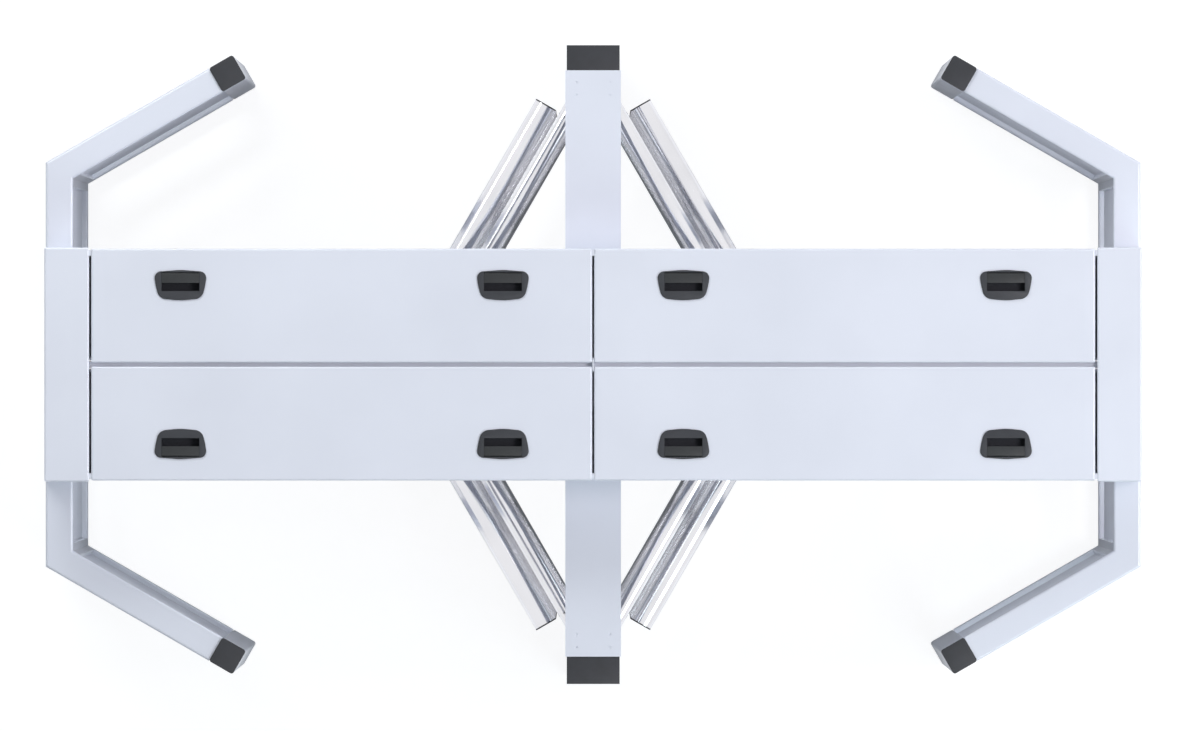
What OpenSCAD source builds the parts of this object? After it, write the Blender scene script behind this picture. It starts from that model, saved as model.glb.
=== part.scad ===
// Full height double turnstile: two rotors of three wings side by side, each behind a
// six-sided barrier, under one long roof with four hinged lids.
// X runs along the roof, Y to the rear and Z up. The floor is at z = 0.

/* [Footprint] */
// Height of the posts, from the floor to the underside of the roof
post_h = 2120; // [2080:5:2200]
// Gap between the wing tips and the inner faces of the barriers
tip_gap = 47; // [35:1:80]
// Gap between the wing tips at rest and the sides of the centre posts
tip_side_gap = 45; // [38:1:62]
// Setback of the centre posts' inner faces from the barriers' inner radius
post_setback = 67; // [47:1:87]

/* [Barrier] */
// Side of the square tubes in rails and posts
rail_w = 60; // [50:1:70]
// Wall of the square tubes
rail_wall = 3; // [2:0.5:5]
// Rounding of the square tubes' edges
rail_round = 6; // [5:0.5:10]
// Length of each leg of a corner post, from the kink
corner_leg = 34; // [30:1:60]
// Diameter of the barrier's round tubes
barrier_d = 40; // [30:1:50]
// Wall of the barrier's round tubes
barrier_wall = 2; // [1.5:0.5:4]
// Diameter of the holes for floor anchors
anchor_d = 14; // [10:1:18]
// Distance of the rails' anchor holes from the middle
anchor_y = 300; // [200:5:360]
// Wall of the sleeves round the rails' anchor holes
sleeve_wall = 4; // [2:0.5:8]

/* [Centre posts and beam] */
// Width of the centre posts and of the beam
post_w = 116; // [100:1:130]
// Depth of the centre posts
post_d = 60; // [50:1:80]
// Wall of the centre posts and of the beam
post_wall = 3; // [2:0.5:5]
// Thickness of the plate in the foot of each centre post
foot_t = 8; // [5:1:12]
// Distance of a post's anchor holes from its middle
foot_anchor_x = 30; // [24:1:36]
// Height of the beam
beam_h = 60; // [50:1:80]
// Thickness of the caps on all posts
cap_t = 4; // [3:0.5:6]
// Depth of a cap's plug inside its post
cap_plug = 20; // [12:1:30]
// Wall of a cap's plug
cap_wall = 2.5; // [1.5:0.5:4]
// Sheet of the beam covers
cover_t = 2; // [1:0.5:3]
// Gap between a beam cover and the beam's sides
cover_gap = 1; // [0.5:0.5:3]
// Overhang of the beam covers below the beam
cover_drop = 2; // [1:0.5:6]
// Overlap of the rear beam cover on its post
cover_lap = 5; // [3:0.5:8]
// Distance of the cover screws from the beam's middle
screw_x = 36.5; // [25:0.5:42]
// Distance of the outer cover screws from the post
screw_inset = 21; // [15:1:30]
// Distance between the two rows of cover screws
screw_pitch = 28; // [20:1:40]
// Shank diameter of the cover screws
screw_d = 5; // [4:0.5:6]
// Head diameter of the cover screws
screw_head_d = 9.6; // [8:0.2:12]
// Length of the cover screws
screw_l = 14; // [12:1:20]
// Margin of a cover's spacer strip round its screws
strip_margin = 10; // [8:1:14]

/* [Tube levels] */
// Height of the lowest tube of the left wings and of the barriers
first_level = 230; // [200:5:240]
// Depth of the highest of these tubes below the underside of the roof
last_level_drop = 190; // [150:5:230]
// Number of tubes above each other
level_count = 11; // [8:1:12]

/* [Wings and combs] */
// Diameter of the wing tubes
wing_d = 50.8; // [45:0.2:55]
// Wall of the wing tubes
wing_wall = 2; // [1.5:0.5:4]
// Distance from a rotor axis to the wing tips
wing_r = 660; // [640:1:700]
// Diameter of the comb tubes
comb_d = 40; // [34:1:42]
// Wall of the comb tubes
comb_wall = 2; // [1.5:0.5:4]
// Distance of the comb tubes from the rotor axis, square to the wing at rest
comb_offset = 53.4; // [50:0.1:56]
// Gap between the ends of the comb tubes and the rotor column
comb_gap = 20; // [14:1:40]
// Thickness of the plugs' heads
plug_t = 3; // [2:0.5:5]
// Depth of the plugs inside their tubes
plug_depth = 18; // [10:1:25]
// Wall of the plugs inside their tubes
plug_wall = 2; // [1.5:0.5:4]

/* [Rotor] */
// Diameter of the rotor columns
column_d = 114; // [104:1:120]
// Wall of the rotor columns
column_wall = 4; // [3:0.5:6]
// Height of a column's lower end above the floor
column_z = 40; // [36:1:60]
// Gap between a column's upper end and the roof
column_gap = 20; // [16:1:40]
// Thickness of the plates in a column's ends
column_plate_t = 10; // [6:1:15]
// Diameter of the upper spindle
spindle_d = 40; // [35:1:45]
// Diameter of the lower pivot
pivot_d = 30; // [24:1:36]
// Diameter of the spindle flanges
flange_d = 96; // [90:1:100]
// Thickness of the spindle flanges
flange_t = 10; // [8:1:12]
// Diameter of a floor bearing's base
floor_base_d = 160; // [140:1:180]
// Thickness of a floor bearing's base
floor_base_t = 8; // [6:1:10]
// Diameter of a floor bearing's boss
floor_boss_d = 70; // [60:1:80]
// Gap between a floor bearing and the flange above it
floor_bearing_gap = 3; // [2:0.5:5]
// Number of anchor holes in a floor bearing
floor_hole_count = 4; // [3:1:8]
// Diameter of the circle of anchor holes in a floor bearing
floor_hole_circle = 122; // [112:1:128]

/* [Roof] */
// Height of the roof, from its floor to the top of the lids
roof_h = 178; // [165:1:220]
// Depth of the roof over the front and rear lids
roof_w = 507; // [490:1:540]
// Sheet of the roof tray
tray_t = 3; // [2:0.5:4]
// Width of the tray's inward flange
tray_flange = 13; // [10:0.5:20]
// Length of the end covers
end_cover_l = 98; // [90:1:120]
// Distance that the end covers stand out beyond the lids
end_cover_proud = 2.4; // [1:0.1:4]
// Depth of the end covers' lip towards the lids
lip_h = 30; // [20:1:40]
// Sheet of the lids and of the end covers
lid_t = 2; // [1.5:0.1:3]
// Rounding of the lids' edges
lid_round = 4; // [3:0.5:6]
// Depth of the lids' outer skirt
skirt_h = 40; // [30:1:60]
// Depth of the lids' ends inside the tray
lid_end_h = 25; // [18:1:30]
// Depth of the lids' fold beside the spine
lid_fold_h = 12; // [11:0.5:14]
// Gap between a lid's skirt and the tray
skirt_gap = 1; // [0.6:0.1:2]
// Gap between the lids and the end covers
lid_end_gap = 4.5; // [3:0.5:8]
// Gap between the left and the right lids
lid_mid_gap = 4.4; // [4:0.1:8]
// Gap between the front and the rear lids
lid_spine_gap = 8.8; // [7:0.1:12]
// Width of the stiffeners under the lids
stiffener_w = 30; // [20:1:40]
// Depth of the stiffeners under the lids
stiffener_h = 12; // [8:1:16]
// Distance of the stiffeners from a lid's middle
stiffener_x = 170; // [120:5:240]
// Diameter of the lids' pivot pins
lid_pin_d = 5; // [4:0.5:6]
// Distance of the pivot pins from a lid's edge
lid_pin_inset = 4; // [3.6:0.1:4.4]
// Distance of the pivot pins below the top of the lids
lid_pin_drop = 6; // [5.6:0.1:6.4]
// Length of the ears that turn on the pivot pins
ear_l = 10; // [8:1:16]
// Width of the ears
ear_w = 16; // [14:1:20]
// Sheet of the brackets that carry the spine and its pins
bracket_t = 3; // [2:0.2:3.2]
// Distance of the spine's top below the top of the lids
spine_drop = 16; // [15:1:30]
// Width of the spine
spine_w = 30; // [26:1:50]
// Height of the spine's channel
spine_h = 30; // [20:1:40]
// Sheet of the spine
spine_t = 2; // [1.5:0.5:4]
// Width of the spine's supports
support_w = 200; // [120:1:300]
// Diameter of the openings in the spine's supports
support_hole_d = 60; // [40:1:70]
// Distance of the end supports from the lids
support_inset = 10; // [8:1:30]

/* [Latches] */
// Distance between the two latches of a lid
latch_pitch = 705; // [600:1:750]
// Distance of the latches from a lid's outer edge
latch_inset = 80; // [76:1:90]
// Outer half width of a bezel
bezel_outer_hw = 57; // [54:0.5:62]
// Inner half width of a bezel
bezel_inner_hw = 46; // [46:0.5:50]
// Depth of a bezel
bezel_d = 65; // [62:0.5:70]
// Bulge of a bezel's edges
bezel_bulge = 4; // [2:0.5:6]
// Rounding of a bezel's outer corners
bezel_round = 14; // [10:0.5:15]
// Rounding of a bezel's inner corners
bezel_inner_round = 20; // [14:0.5:21]
// Bulge of a bezel's sides
bezel_side_bulge = 1.5; // [0.5:0.5:2]
// Thickness of a bezel's flange
bezel_t = 2; // [1.5:0.5:3]
// Depth of a bezel's cup below the lid
cup_h = 18; // [16:1:22]
// Wall of a bezel's cup
cup_wall = 2; // [1.5:0.5:3]
// Half width of the paddle
paddle_hw = 41; // [38:0.5:42]
// Thickness of the paddle
paddle_t = 3; // [2:0.5:4]
// Front of the finger slot, from the latch's middle
slot_front = 12.7; // [10:0.1:14]
// Back of the finger slot, from the latch's middle
slot_back = 4.8; // [3:0.1:7]
// Distance of the paddle's pivot from the latch's middle
paddle_pivot = 25; // [23:0.5:26]
// Depth of the paddle's pivot below the bezel's face
pivot_drop = 4; // [3.6:0.1:5]
// Diameter of the paddle's barrel
barrel_d = 6; // [5:0.5:7]
// Diameter of the paddle's pivot ends
paddle_pin_d = 3.6; // [3:0.1:4]
// Width of the latch hook
hook_w = 14; // [10:1:16]
// Thickness of the latch hook
hook_t = 5; // [4:0.5:6]
// Gap between the hook's tip and the tray's flange
hook_gap = 1.2; // [1:0.1:3]

/* [Mechanism] */
// Length of the mechanism plates, along the roof
plate_l = 400; // [380:1:410]
// Width of the mechanism plates
plate_w = 430; // [400:1:450]
// Thickness of the mechanism plates
plate_t = 8; // [6:1:10]
// Diameter of the openings that the spindles pass
spindle_hole_d = 60; // [54:1:66]
// Diameter of the top bearings' flange
bearing_flange_d = 124; // [116:1:130]
// Thickness of the top bearings' flange
bearing_flange_t = 10; // [6:1:12]
// Diameter of the top bearings' body
bearing_body_d = 88; // [80:1:96]
// Height of the top bearings
bearing_h = 30; // [26:1:34]
// Number of bolts in a top bearing's flange
bearing_bolt_count = 4; // [3:1:8]
// Diameter of the circle of bolts in a top bearing's flange
bearing_bolt_circle = 106; // [102:0.5:110]
// Diameter of the bolt holes in plates and flanges
bolt_hole_d = 9; // [6:0.5:10]
// Distance of the mechanism plates' fixing bolts from the plates' edges
plate_bolt_inset = 24; // [16:1:32]
// Diameter of the spindle's collar
collar_d = 56; // [50:1:60]
// Height of the spindle's collar
collar_h = 7; // [5:1:9]
// Diameter of the lock wheels
lock_d = 200; // [190:1:204]
// Thickness of the lock wheels
lock_t = 10; // [8:1:12]
// Diameter of the lock wheels' and gears' hubs
hub_d = 70; // [60:1:76]
// Height of the lock wheels' hubs
lock_hub_h = 20; // [18:1:24]
// Number of notches in a lock wheel
notch_count = 6; // [6:6:12]
// Width of the notches
notch_w = 19; // [18:0.5:24]
// Depth of the notches
notch_d = 14; // [13:0.5:18]
// Distance of a pawl's pivot from its notch, along the wheel's tangent
pawl_pivot_x = 90; // [85:1:95]
// Distance of a pawl's middle line from the rotor axis
pawl_y = 118; // [114:1:122]
// Width of a pawl's arm
pawl_w = 12; // [10:1:14]
// Thickness of a pawl
pawl_t = 8; // [6:0.5:8]
// Diameter of a pawl's hub
pawl_hub_d = 26; // [22:1:30]
// Diameter of a pawl's stud
pawl_stud_d = 10; // [8:1:12]
// Width of a pawl's nose
nose_w = 10; // [8:0.5:12]
// Gap between a pawl's nose and the lock wheel, when unlocked
nose_gap = 2.2; // [1.5:0.1:4]
// Width of a solenoid
solenoid_w = 36; // [30:1:44]
// Length of a solenoid
solenoid_l = 42; // [36:1:50]
// Thickness of the cheeks that hold a solenoid's coil
solenoid_cheek_t = 4; // [2:0.5:6]
// Diameter of a solenoid's coil
coil_d = 30; // [22:1:34]
// Diameter of a solenoid's plunger
plunger_d = 8; // [6:0.5:8]
// Length of a solenoid's plunger outside its case
plunger_l = 20; // [12:1:24]
// Tooth size of the gears, as pitch diameter over tooth count
gear_module = 4; // [4:0.1:4.2]
// Teeth of a drive gear
gear_teeth = 50; // [44:2:54]
// Teeth of a damper's pinion
pinion_teeth = 18; // [16:1:20]
// Face width of the gears
gear_t = 14; // [10:1:16]
// Play between the gears' flanks
backlash = 0.5; // [0.4:0.1:0.8]
// Number of round openings in a drive gear
gear_hole_count = 6; // [3:1:8]
// Diameter of the round openings in a drive gear
gear_hole_d = 36; // [28:1:38]
// Diameter of a damper
damper_d = 62; // [50:1:64]
// Height of a damper
damper_h = 50; // [40:1:52]
// Side of a damper's mounting flange
damper_flange_w = 76; // [72:1:84]
// Thickness of a damper's mounting flange
damper_flange_t = 6; // [4:1:8]
// Diameter of a damper's cap
damper_cap_d = 46; // [30:1:48]
// Height of a damper's cap
damper_cap_h = 6; // [3:1:8]
// Diameter of a pinion's shaft
pinion_shaft_d = 12; // [10:1:14]
// Depth of a pinion's shaft in its damper
pinion_shaft_l = 30; // [20:1:34]
// Length of the control box, along the roof
control_l = 170; // [140:1:180]
// Width of the control box
control_w = 240; // [180:1:300]
// Height of the control box
control_h = 80; // [60:1:100]
// Height of the control box's cover
control_cover_h = 24; // [12:1:40]
// Overhang of the control box's cover
control_lip = 2; // [1:0.5:4]
// Number of cable glands on the control box
gland_count = 4; // [1:1:5]
// Distance between the cable glands
gland_pitch = 44; // [30:1:48]
// Width of a cable gland's nut
gland_nut_d = 22; // [18:1:26]
// Height of a cable gland's nut
gland_nut_h = 6; // [4:0.5:8]
// Diameter of a cable gland's body
gland_d = 16; // [10:1:17]
// Length of a cable gland
gland_l = 18; // [12:1:24]
// Length of the power supply, along the roof
supply_l = 110; // [90:1:150]
// Width of the power supply
supply_w = 200; // [150:1:240]
// Height of the power supply
supply_h = 55; // [40:1:70]
// Number of cooling slots in the power supply
vent_count = 12; // [4:1:14]
// Distance between the cooling slots
vent_pitch = 10; // [8:0.5:11]
// Length of a cooling slot
vent_l = 56; // [30:1:84]
// Width of a cooling slot
vent_w = 4; // [2:0.5:6]
// Depth of a cooling slot
vent_depth = 2; // [1:0.5:4]
// Depth of the power supply's terminal step
terminal_d = 20; // [16:1:30]
// Height of the terminals
terminal_h = 14; // [8:1:18]
// Number of terminals
terminal_count = 7; // [3:1:9]
// Distance of the control box and the power supply from the middle
box_inset = 30; // [20:1:40]

/* [Hidden] */
$fn = 48;

// Overrun of every cut
over = 1;
// Radial clearance of shafts and pins in their holes
fit_gap = 0.05;
// Clearance between pieces that rest on each other or run past each other
seat_gap = 0.3;
// Clearance round pieces that sit in an opening
opening_gap = 0.5;

// Places on the floor
barrier_r = wing_r + tip_gap;
rotor_x = wing_r * cos(60) + post_w / 2 + tip_side_gap;
post_y = barrier_r - post_setback;
half_l = rotor_x + barrier_r + rail_w;
side_r = barrier_r + rail_w / 2;
side_half = side_r * tan(30);
kink_r = side_r / cos(30);

// Places along the roof
cover_x = half_l - end_cover_l;
lid_x0 = lid_mid_gap / 2;
lid_x1 = cover_x - lid_end_gap;
lid_l = lid_x1 - lid_x0;
lid_mid_x = (lid_x0 + lid_x1) / 2;

// Places across the roof
lid_y0 = lid_spine_gap / 2;
lid_y1 = roof_w / 2;
lid_d = lid_y1 - lid_y0;
tray_y = lid_y1 - lid_t - skirt_gap;
flange_y = tray_y - tray_flange;
lid_pin_y = lid_y0 + lid_pin_inset;
latch_y = lid_y1 - latch_inset;

// Heights of the roof
lid_top = post_h + roof_h;
lid_under = lid_top - lid_t;
tray_top = lid_under - seat_gap;
tray_floor = post_h + tray_t;
lid_pin_z = lid_top - lid_pin_drop;
spine_top = lid_top - spine_drop;
paddle_z = lid_top + bezel_t - pivot_drop;

// Heights of the mechanism
plate_top = tray_floor + plate_t;
bearing_top = plate_top + bearing_h;
collar_z = bearing_top + seat_gap;
lock_hub_z = collar_z + collar_h;
lock_z = lock_hub_z + (lock_hub_h - lock_t) / 2;
gear_z = lock_hub_z + lock_hub_h;
gear_hub_h = gear_t + seat_gap;
nut_z = gear_z + gear_hub_h;
nut_h = collar_h;
pawl_z = lock_z + (lock_t - pawl_t) / 2;
pawl_hub_h = pawl_t + collar_h / 2;

// Rotor and comb places
column_top = post_h - column_gap;
level_pitch = (post_h - last_level_drop - first_level) / (level_count - 1);
right_level = first_level - level_pitch / 2;
comb_reach = column_d / 2 + comb_gap;
comb_x0 = sqrt(pow(comb_reach, 2) - pow(comb_offset - comb_d / 2, 2)) + plug_t;
comb_x1 = (post_y + comb_offset * cos(60)) / sin(60) + comb_d;

// Gear places
gear_r = gear_module * gear_teeth / 2;
pinion_r = gear_module * pinion_teeth / 2;
gear_distance = gear_r + pinion_r + backlash / 2;
pressure_angle = 20;

paint = [0.87, 0.885, 0.93];
dark = [0.27, 0.28, 0.29];
steel = [0.72, 0.73, 0.78];
zinc = [0.66, 0.68, 0.7];
brass = [0.75, 0.62, 0.35];

// One of a pair, on the left or mirrored to the right
module on_side(right) {
    if (right) mirror([1, 0, 0]) children();
    else children();
}

module both_sides() {
    on_side(false) children();
    on_side(true) children();
}

// One of a pair, to the rear or mirrored to the front
module on_row(front) {
    if (front) mirror([0, 1, 0]) children();
    else children();
}

module both_rows() {
    on_row(false) children();
    on_row(true) children();
}

// Frame of the left rotor's axis
module at_rotor() {
    translate([-rotor_x, 0, 0]) children();
}

// A square or rectangle with round corners
module rounded_square(size, r) {
    square([size[0] - 2 * r, size[1]], center = true);
    square([size[0], size[1] - 2 * r], center = true);
    for (x = [-1, 1], y = [-1, 1])
        translate([x * (size[0] / 2 - r), y * (size[1] / 2 - r)]) circle(r);
}

// Section of the rails and posts
module square_tube_section() {
    inner = rail_w - 2 * rail_wall;
    difference() {
        rounded_square([rail_w, rail_w], rail_round);
        rounded_square([inner, inner], rail_round - rail_wall);
    }
}

// A round tube from the origin along +X
module round_tube(l, d, wall) {
    rotate([0, 90, 0])
        difference() {
            cylinder(h = l, d = d);
            translate([0, 0, -over]) cylinder(h = l + 2 * over, d = d - 2 * wall);
        }
}

// Barrier: the faces of the six-sided plan stand at 120, 180 and 240 degrees
module rail_side(from, to) {
    wedge = side_r + rail_w;
    intersection() {
        translate([side_r, from, rail_w / 2])
            rotate([-90, 0, 0]) linear_extrude(to - from) square_tube_section();
        linear_extrude(rail_w)
            polygon([[0, 0], [wedge, -wedge * tan(30)], [wedge, wedge * tan(30)]]);
    }
}

module bent_rail() {
    end = side_half + rail_w / 2;
    rotate([0, 0, 180]) rail_side(-end, end);
    rotate([0, 0, 120]) rail_side(rail_w / 2, end);
    rotate([0, 0, 240]) rail_side(-end, -rail_w / 2);
}

module anchor_places() {
    for (y = [-anchor_y, anchor_y])
        translate([-side_r, y, 0]) children();
}

module side_rails() {
    at_rotor() {
        difference() {
            union() {
                bent_rail();
                anchor_places() cylinder(h = rail_w, d = anchor_d + 2 * sleeve_wall);
            }
            anchor_places()
                translate([0, 0, -over]) cylinder(h = rail_w + 2 * over, d = anchor_d);
        }
        translate([0, 0, post_h - rail_w]) bent_rail();
    }
}

// Plan of a corner post, with its kink on the X axis
module corner_plan(w, leg) {
    rise = w / 2 / cos(30);
    function end_point(turn, out) = [
        kink_r + leg * cos(turn * 120) + out * w / 2 * cos(30),
        leg * sin(turn * 120) + turn * out * w / 2 * sin(30)
    ];
    polygon([
        [kink_r + rise, 0], end_point(1, 1), end_point(1, -1),
        [kink_r - rise, 0], end_point(-1, -1), end_point(-1, 1)
    ]);
}

module corner_post() {
    translate([0, 0, rail_w])
        linear_extrude(post_h - 2 * rail_w)
            difference() {
                corner_plan(rail_w, corner_leg);
                corner_plan(rail_w - 2 * rail_wall, corner_leg - rail_wall);
            }
}

module side_posts() {
    at_rotor() {
        for (a = [120, 240])
            rotate([0, 0, a]) translate([side_r, 0, 0])
                linear_extrude(post_h) square_tube_section();
        for (a = [150, 210])
            rotate([0, 0, a]) corner_post();
    }
}

module barrier_tubes() {
    slant_l = side_half - corner_leg - rail_w / 2;
    front_l = 2 * (side_half - corner_leg);
    at_rotor()
        for (level = [0:level_count - 1])
            translate([0, 0, first_level + level * level_pitch]) {
                both_rows()
                    rotate([0, 0, 120]) translate([side_r, rail_w / 2, 0])
                        rotate([0, 0, 90]) round_tube(slant_l, barrier_d, barrier_wall);
                translate([-side_r, -front_l / 2, 0])
                    rotate([0, 0, 90]) round_tube(front_l, barrier_d, barrier_wall);
            }
}

// Cap with a hollow plug, its head standing on a post's top
module cap_plug_ring(size, r) {
    inner = [size[0] - 2 * cap_wall, size[1] - 2 * cap_wall];
    translate([0, 0, -cap_plug])
        linear_extrude(cap_plug)
            difference() {
                rounded_square(size, r);
                rounded_square(inner, max(r - cap_wall, r / 4));
            }
}

module post_caps() {
    inner = rail_w - 2 * rail_wall - 2 * seat_gap;
    both_sides() both_rows() at_rotor()
        rotate([0, 0, 120]) translate([side_r, 0, post_h]) {
            linear_extrude(cap_t) rounded_square([rail_w, rail_w], rail_round);
            cap_plug_ring([inner, inner], rail_round - rail_wall);
        }
    both_rows()
        translate([0, post_y + post_d / 2, post_h]) {
            linear_extrude(cap_t) square([post_w, post_d], center = true);
            cap_plug_ring([
                post_w - 2 * post_wall - 2 * seat_gap,
                post_d - 2 * post_wall - 2 * seat_gap
            ], cap_wall);
        }
}

module centre_posts() {
    both_rows()
        translate([0, post_y + post_d / 2, 0])
            difference() {
                linear_extrude(post_h) square([post_w, post_d], center = true);
                translate([0, 0, foot_t])
                    linear_extrude(post_h)
                        square([post_w - 2 * post_wall, post_d - 2 * post_wall], center = true);
                for (x = [-foot_anchor_x, foot_anchor_x])
                    translate([x, 0, -over]) cylinder(h = foot_t + 2 * over, d = anchor_d);
            }
}

// Places of the cover screws on the rear half of the beam
module screw_places() {
    for (x = [-screw_x, screw_x], row = [0, 1])
        translate([x, post_y - screw_inset - row * screw_pitch, post_h]) children();
}

module centre_beam() {
    difference() {
        translate([0, post_y, post_h - beam_h / 2])
            rotate([90, 0, 0])
                linear_extrude(2 * post_y)
                    difference() {
                        square([post_w, beam_h], center = true);
                        square([post_w - 2 * post_wall, beam_h - 2 * post_wall], center = true);
                    }
        both_rows() screw_places()
            translate([0, 0, -post_wall - over])
                cylinder(h = post_wall + 2 * over, d = screw_d + 2 * fit_gap);
    }
}

// Sheet cover over the rear or front stretch of the beam
module beam_cover(lap) {
    inner_w = post_w + 2 * cover_gap;
    cover_l = post_y + lap - tray_y - opening_gap;
    rise = cap_t + seat_gap;
    strip_l = screw_pitch + 2 * strip_margin;
    difference() {
        translate([0, tray_y + opening_gap, 0])
            difference() {
                translate([-inner_w / 2 - cover_t, 0, post_h - beam_h - cover_drop])
                    cube([inner_w + 2 * cover_t, cover_l, beam_h + cover_drop + rise + cover_t]);
                translate([-inner_w / 2, -over, post_h - beam_h - cover_drop - over])
                    cube([inner_w, cover_l + 2 * over, beam_h + cover_drop + rise + over]);
            }
        screw_holes(rise);
    }
    difference() {
        translate([
            -screw_x - strip_margin,
            post_y - screw_inset - screw_pitch - strip_margin,
            post_h
        ])
            cube([2 * (screw_x + strip_margin), strip_l, rise]);
        screw_holes(rise);
    }
}

module screw_shape(rise, gap) {
    head_h = (screw_head_d - screw_d) / 2;
    top = rise + cover_t;
    translate([0, 0, top - head_h])
        cylinder(h = head_h, d1 = screw_d + 2 * gap, d2 = screw_head_d + 2 * gap);
    translate([0, 0, top - screw_l]) cylinder(h = screw_l - head_h / 2, d = screw_d + 2 * gap);
}

module screw_holes(rise) {
    screw_places() screw_shape(rise, fit_gap);
}

module beam_covers() {
    beam_cover(cover_lap);
    on_row(true) beam_cover(0);
}

module beam_cover_screws() {
    both_rows() screw_places() screw_shape(cap_t + seat_gap, 0);
}

// Comb: tubes beside the rear and front wings, from the column to the centre posts
module comb_tubes(start) {
    for (level = [0:level_count - 1])
        both_rows()
            difference() {
                at_rotor()
                    rotate([0, 0, 60])
                        translate([comb_x0, -comb_offset, start + level * level_pitch])
                            round_tube(comb_x1 - comb_x0, comb_d, comb_wall);
                translate([-post_w, post_y, start + level * level_pitch - comb_d])
                    cube([2 * post_w, comb_x1, 2 * comb_d]);
            }
}

// A plug with its head at the origin's far side, its neck along +X in the tube
module tube_plug(d, wall) {
    neck = d - 2 * wall - 2 * fit_gap;
    rotate([0, -90, 0]) cylinder(h = plug_t, d = d);
    rotate([0, 90, 0])
        difference() {
            cylinder(h = plug_depth, d = neck);
            translate([0, 0, plug_wall])
                cylinder(h = plug_depth, d = neck - 2 * plug_wall);
        }
}

module comb_plug_row(start) {
    for (level = [0:level_count - 1])
        both_rows() at_rotor()
            rotate([0, 0, 60])
                translate([comb_x0, -comb_offset, start + level * level_pitch])
                    tube_plug(comb_d, comb_wall);
}

// Rotor: column, wings and spindles
module rotor_column() {
    inner_d = column_d - 2 * column_wall;
    at_rotor()
        translate([0, 0, column_z])
            difference() {
                cylinder(h = column_top - column_z, d = column_d);
                translate([0, 0, column_plate_t])
                    cylinder(h = column_top - column_z - 2 * column_plate_t, d = inner_d);
            }
}

module wing_tubes(start) {
    at_rotor()
        for (a = [60, 180, 300], level = [0:level_count - 1])
            translate([0, 0, start + level * level_pitch])
                rotate([0, 0, a])
                    difference() {
                        round_tube(wing_r - plug_t, wing_d, wing_wall);
                        translate([0, 0, -wing_d])
                            cylinder(h = 2 * wing_d, d = column_d);
                    }
}

module wing_plugs(start) {
    at_rotor()
        for (a = [60, 180, 300], level = [0:level_count - 1])
            rotate([0, 0, a])
                translate([wing_r - plug_t, 0, start + level * level_pitch])
                    mirror([1, 0, 0]) tube_plug(wing_d, wing_wall);
}

module spindles() {
    pivot_z = floor_base_t + seat_gap;
    at_rotor() {
        translate([0, 0, column_top]) cylinder(h = flange_t, d = flange_d);
        translate([0, 0, column_top]) cylinder(h = nut_z + nut_h - column_top, d = spindle_d);
        translate([0, 0, collar_z]) cylinder(h = collar_h, d = collar_d);
        translate([0, 0, nut_z]) cylinder(h = nut_h, d = collar_d, $fn = 6);
        translate([0, 0, column_z - flange_t]) cylinder(h = flange_t, d = flange_d);
        translate([0, 0, pivot_z]) cylinder(h = column_z - pivot_z, d = pivot_d);
    }
}

module floor_bearing() {
    boss_top = column_z - flange_t - floor_bearing_gap;
    at_rotor()
        difference() {
            union() {
                cylinder(h = floor_base_t, d = floor_base_d);
                cylinder(h = boss_top, d = floor_boss_d);
            }
            translate([0, 0, floor_base_t]) cylinder(h = boss_top, d = pivot_d + 2 * fit_gap);
            for (i = [0:floor_hole_count - 1])
                rotate([0, 0, (i + 0.5) * 360 / floor_hole_count])
                    translate([floor_hole_circle / 2, 0, -over])
                        cylinder(h = floor_base_t + 2 * over, d = anchor_d);
        }
}

// A block on the XY plane with rounded upper edges and upright corners
module rounded_block(size, r) {
    intersection() {
        translate([0, size[1], 0]) rotate([90, 0, 0])
            linear_extrude(size[1]) topped([size[0], size[2]], r);
        rotate([90, 0, 90]) linear_extrude(size[0]) topped([size[1], size[2]], r);
        translate([size[0] / 2, size[1] / 2, 0])
            linear_extrude(size[2]) rounded_square([size[0], size[1]], r);
    }
}

module topped(size, r) {
    square([size[0], size[1] - r]);
    translate([r, 0]) square([size[0] - 2 * r, size[1]]);
    for (x = [r, size[0] - r])
        translate([x, size[1] - r]) circle(r);
}

// A cap of folded sheet, open below
module folded_cap(size, r) {
    difference() {
        rounded_block(size, r);
        translate([lid_t, lid_t, -over])
            rounded_block([
                size[0] - 2 * lid_t, size[1] - 2 * lid_t, size[2] - lid_t + over
            ], r - lid_t);
    }
}

// Roof tray: floor, walls and an inward flange along front and rear
module roof_tray() {
    tray_l = 2 * (half_l - lid_round);
    tray_h = tray_top - post_h;
    difference() {
        translate([-tray_l / 2, -tray_y, post_h]) cube([tray_l, 2 * tray_y, tray_h]);
        translate([-tray_l / 2 + tray_t, -tray_y + tray_t, tray_floor])
            cube([tray_l - 2 * tray_t, 2 * (tray_y - tray_t), tray_h - 2 * tray_t]);
        translate([-tray_l / 2 + tray_t, -flange_y, tray_floor])
            cube([tray_l - 2 * tray_t, 2 * flange_y, tray_h]);
        both_sides() at_rotor()
            translate([0, 0, post_h - over])
                cylinder(h = tray_t + 2 * over, d = spindle_hole_d);
    }
}

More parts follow.
